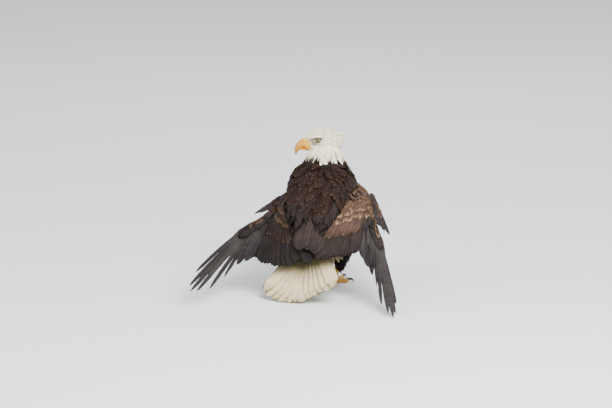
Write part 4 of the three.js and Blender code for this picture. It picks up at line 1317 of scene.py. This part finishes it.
toes = {"hallux": (172, 38, 8.0, 43), "inner": (-22, 46, 8.0, 41), "middle": (12, 68, 7.6, 36),
    "outer": (64, 47, 7.4, 31)}
for name, side in sides.items():
    ankle = np.array([side * 38, -8, 0.0])
    shank = bodyRows([[66, -23, 80, 8.5, 8.5, 8.5], [57, -18, 69, 8.5, 8.5, 8.5],
        [51, -9, 46, 8.5, 8.5, 8.5], [44, 0, 25, 9.5, 9.5, 9.5], [38, 8, 8, 9, 9, 9]], side)
    heel = np.array([[*(ankle + upward * h), r, r, r] for h, r in ((-3, 9), (3, 13), (10, 13.5), (17, 10))])
    parts = [tubeShell(shank, acrossBody, 24, 30), tubeShell(heel, acrossBody, 24, 12)]
    horns = []
    for toe, (turn, length, r, clawLength) in toes.items():
        run = np.array([math.sin(math.radians(turn) * side), -math.cos(math.radians(turn) * side), 0])
        level = np.cross(upward, run)
        path = [[4, 11, r, r, r + 2], [0.22 * length, 10, r * 0.92, r, r + 2],
            [0.4 * length, 10, r * 1.05, r, r + 3], [0.56 * length, 9, r * 0.86, r * 0.9, r],
            [0.74 * length, 8, r * 0.96, r * 0.85, r + 2], [length, 8.5, 0.78 * r, 0.8 * r, 0.8 * r],
            [length + 3, 8.5, 0.5 * r, 0.5 * r, 0.5 * r]]
        rows = np.array([[*(ankle + run * along + upward * high), *sizes] for along, high, *sizes in path])
        parts.append(tubeShell(rows, level, 24, 40))
        bend, first = math.radians(125), math.radians(28)
        reach = clawLength / bend
        curve = []
        for t in np.linspace(0, 1, 9):
            angle = first - bend * t
            thick = 5.4 * (1 - t) ** 0.75 + 0.6
            out = length - 3 + reach * (math.sin(first) - math.sin(angle))
            high = 9.5 + reach * (math.cos(angle) - math.cos(first))
            curve.append([out, high, 0.8 * thick, thick, thick])
        low = curve[-1][1] - 1.4
        rows = np.array([[*(ankle + run * a + upward * (b - low * (k / 8) ** 1.5)), *sizes]
            for k, (a, b, *sizes) in enumerate(curve)])
        horns.append(tubeShell(rows, level, 20, 30))
    parts = [(points, outward(points, faces)) for points, faces in parts]
    foot = addMesh("foot_" + name, *joinShells(parts), bareLook["scales"])
    remeshed(foot, 0.0016, 6)
    spots = readPoints(foot.data, "co")
    spots[:, 2] = np.maximum(spots[:, 2], 0)
    foot.data.vertices.foreach_set("co", spots.reshape(-1))
    foot.data.materials.clear()
    foot.data.materials.append(bareLook["scales"])
    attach(foot, "root")
    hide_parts("shank_" + name, *["toe_" + name + "_" + toe for toe in toes])
    horns = [(np.maximum(points, [-1e9, -1e9, 0]), outward(points, faces)) for points, faces in horns]
    claws = addMesh("claws_" + name, *joinShells(horns), bareLook["claw"])
    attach(claws, "root")
    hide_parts(*["claw_" + name + "_" + toe for toe in toes])
print("eagle: feet")

floorMaterial, _, floorShader = newMaterial("paleFloor")
floorShader.inputs["Base Color"].default_value = (0.80, 0.81, 0.80, 1)
floorShader.inputs["Roughness"].default_value = 0.9
floorMesh = bpy.data.meshes.new("floor")
floorMesh.from_pydata([(-150, -150, 0), (150, -150, 0), (150, 150, 0), (-150, 150, 0)], [], [(0, 1, 2, 3)])
floorMesh.materials.append(floorMaterial)
floor = bpy.data.objects.new("floor", floorMesh)
bpy.context.scene.collection.objects.link(floor)

lights = {
    "key": {"at": (-2.2, 2.6, 3.4), "size": 3.0, "power": 520},
    "fill": {"at": (3.0, 2.0, 2.2), "size": 3.0, "power": 90},
    "back": {"at": (0.5, -3.2, 3.0), "size": 3.0, "power": 60},
}
for name, spec in lights.items():
    lamp = bpy.data.lights.new(name, "AREA")
    lamp.size, lamp.energy = spec["size"], spec["power"]
    obj = bpy.data.objects.new(name, lamp)
    bpy.context.scene.collection.objects.link(obj)
    obj.location = spec["at"]
    obj.rotation_mode = "QUATERNION"
    obj.rotation_quaternion = (Vector((0, 0, 0.25)) - obj.location).to_track_quat("-Z", "Y")
world = bpy.data.worlds.new("softSky")
bpy.context.scene.world = world
world.use_nodes = True
world.node_tree.nodes["Background"].inputs[0].default_value = (0.90, 0.95, 1.0, 1)
world.node_tree.nodes["Background"].inputs[1].default_value = 0.92

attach(skin, "root")
# The skin takes the breast look; with no along attribute it gets the whole root shade, a painted shade
# where it shows between the feathers.
skin.data.materials.append(plumage["breast"])
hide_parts("head", "neck", "trunk", "thigh_left", "thigh_right", "tail",
    "wing_left_arm", "wing_right_arm", "wing_left_hand", "wing_right_hand",
    "wing_left_alula", "wing_right_alula")
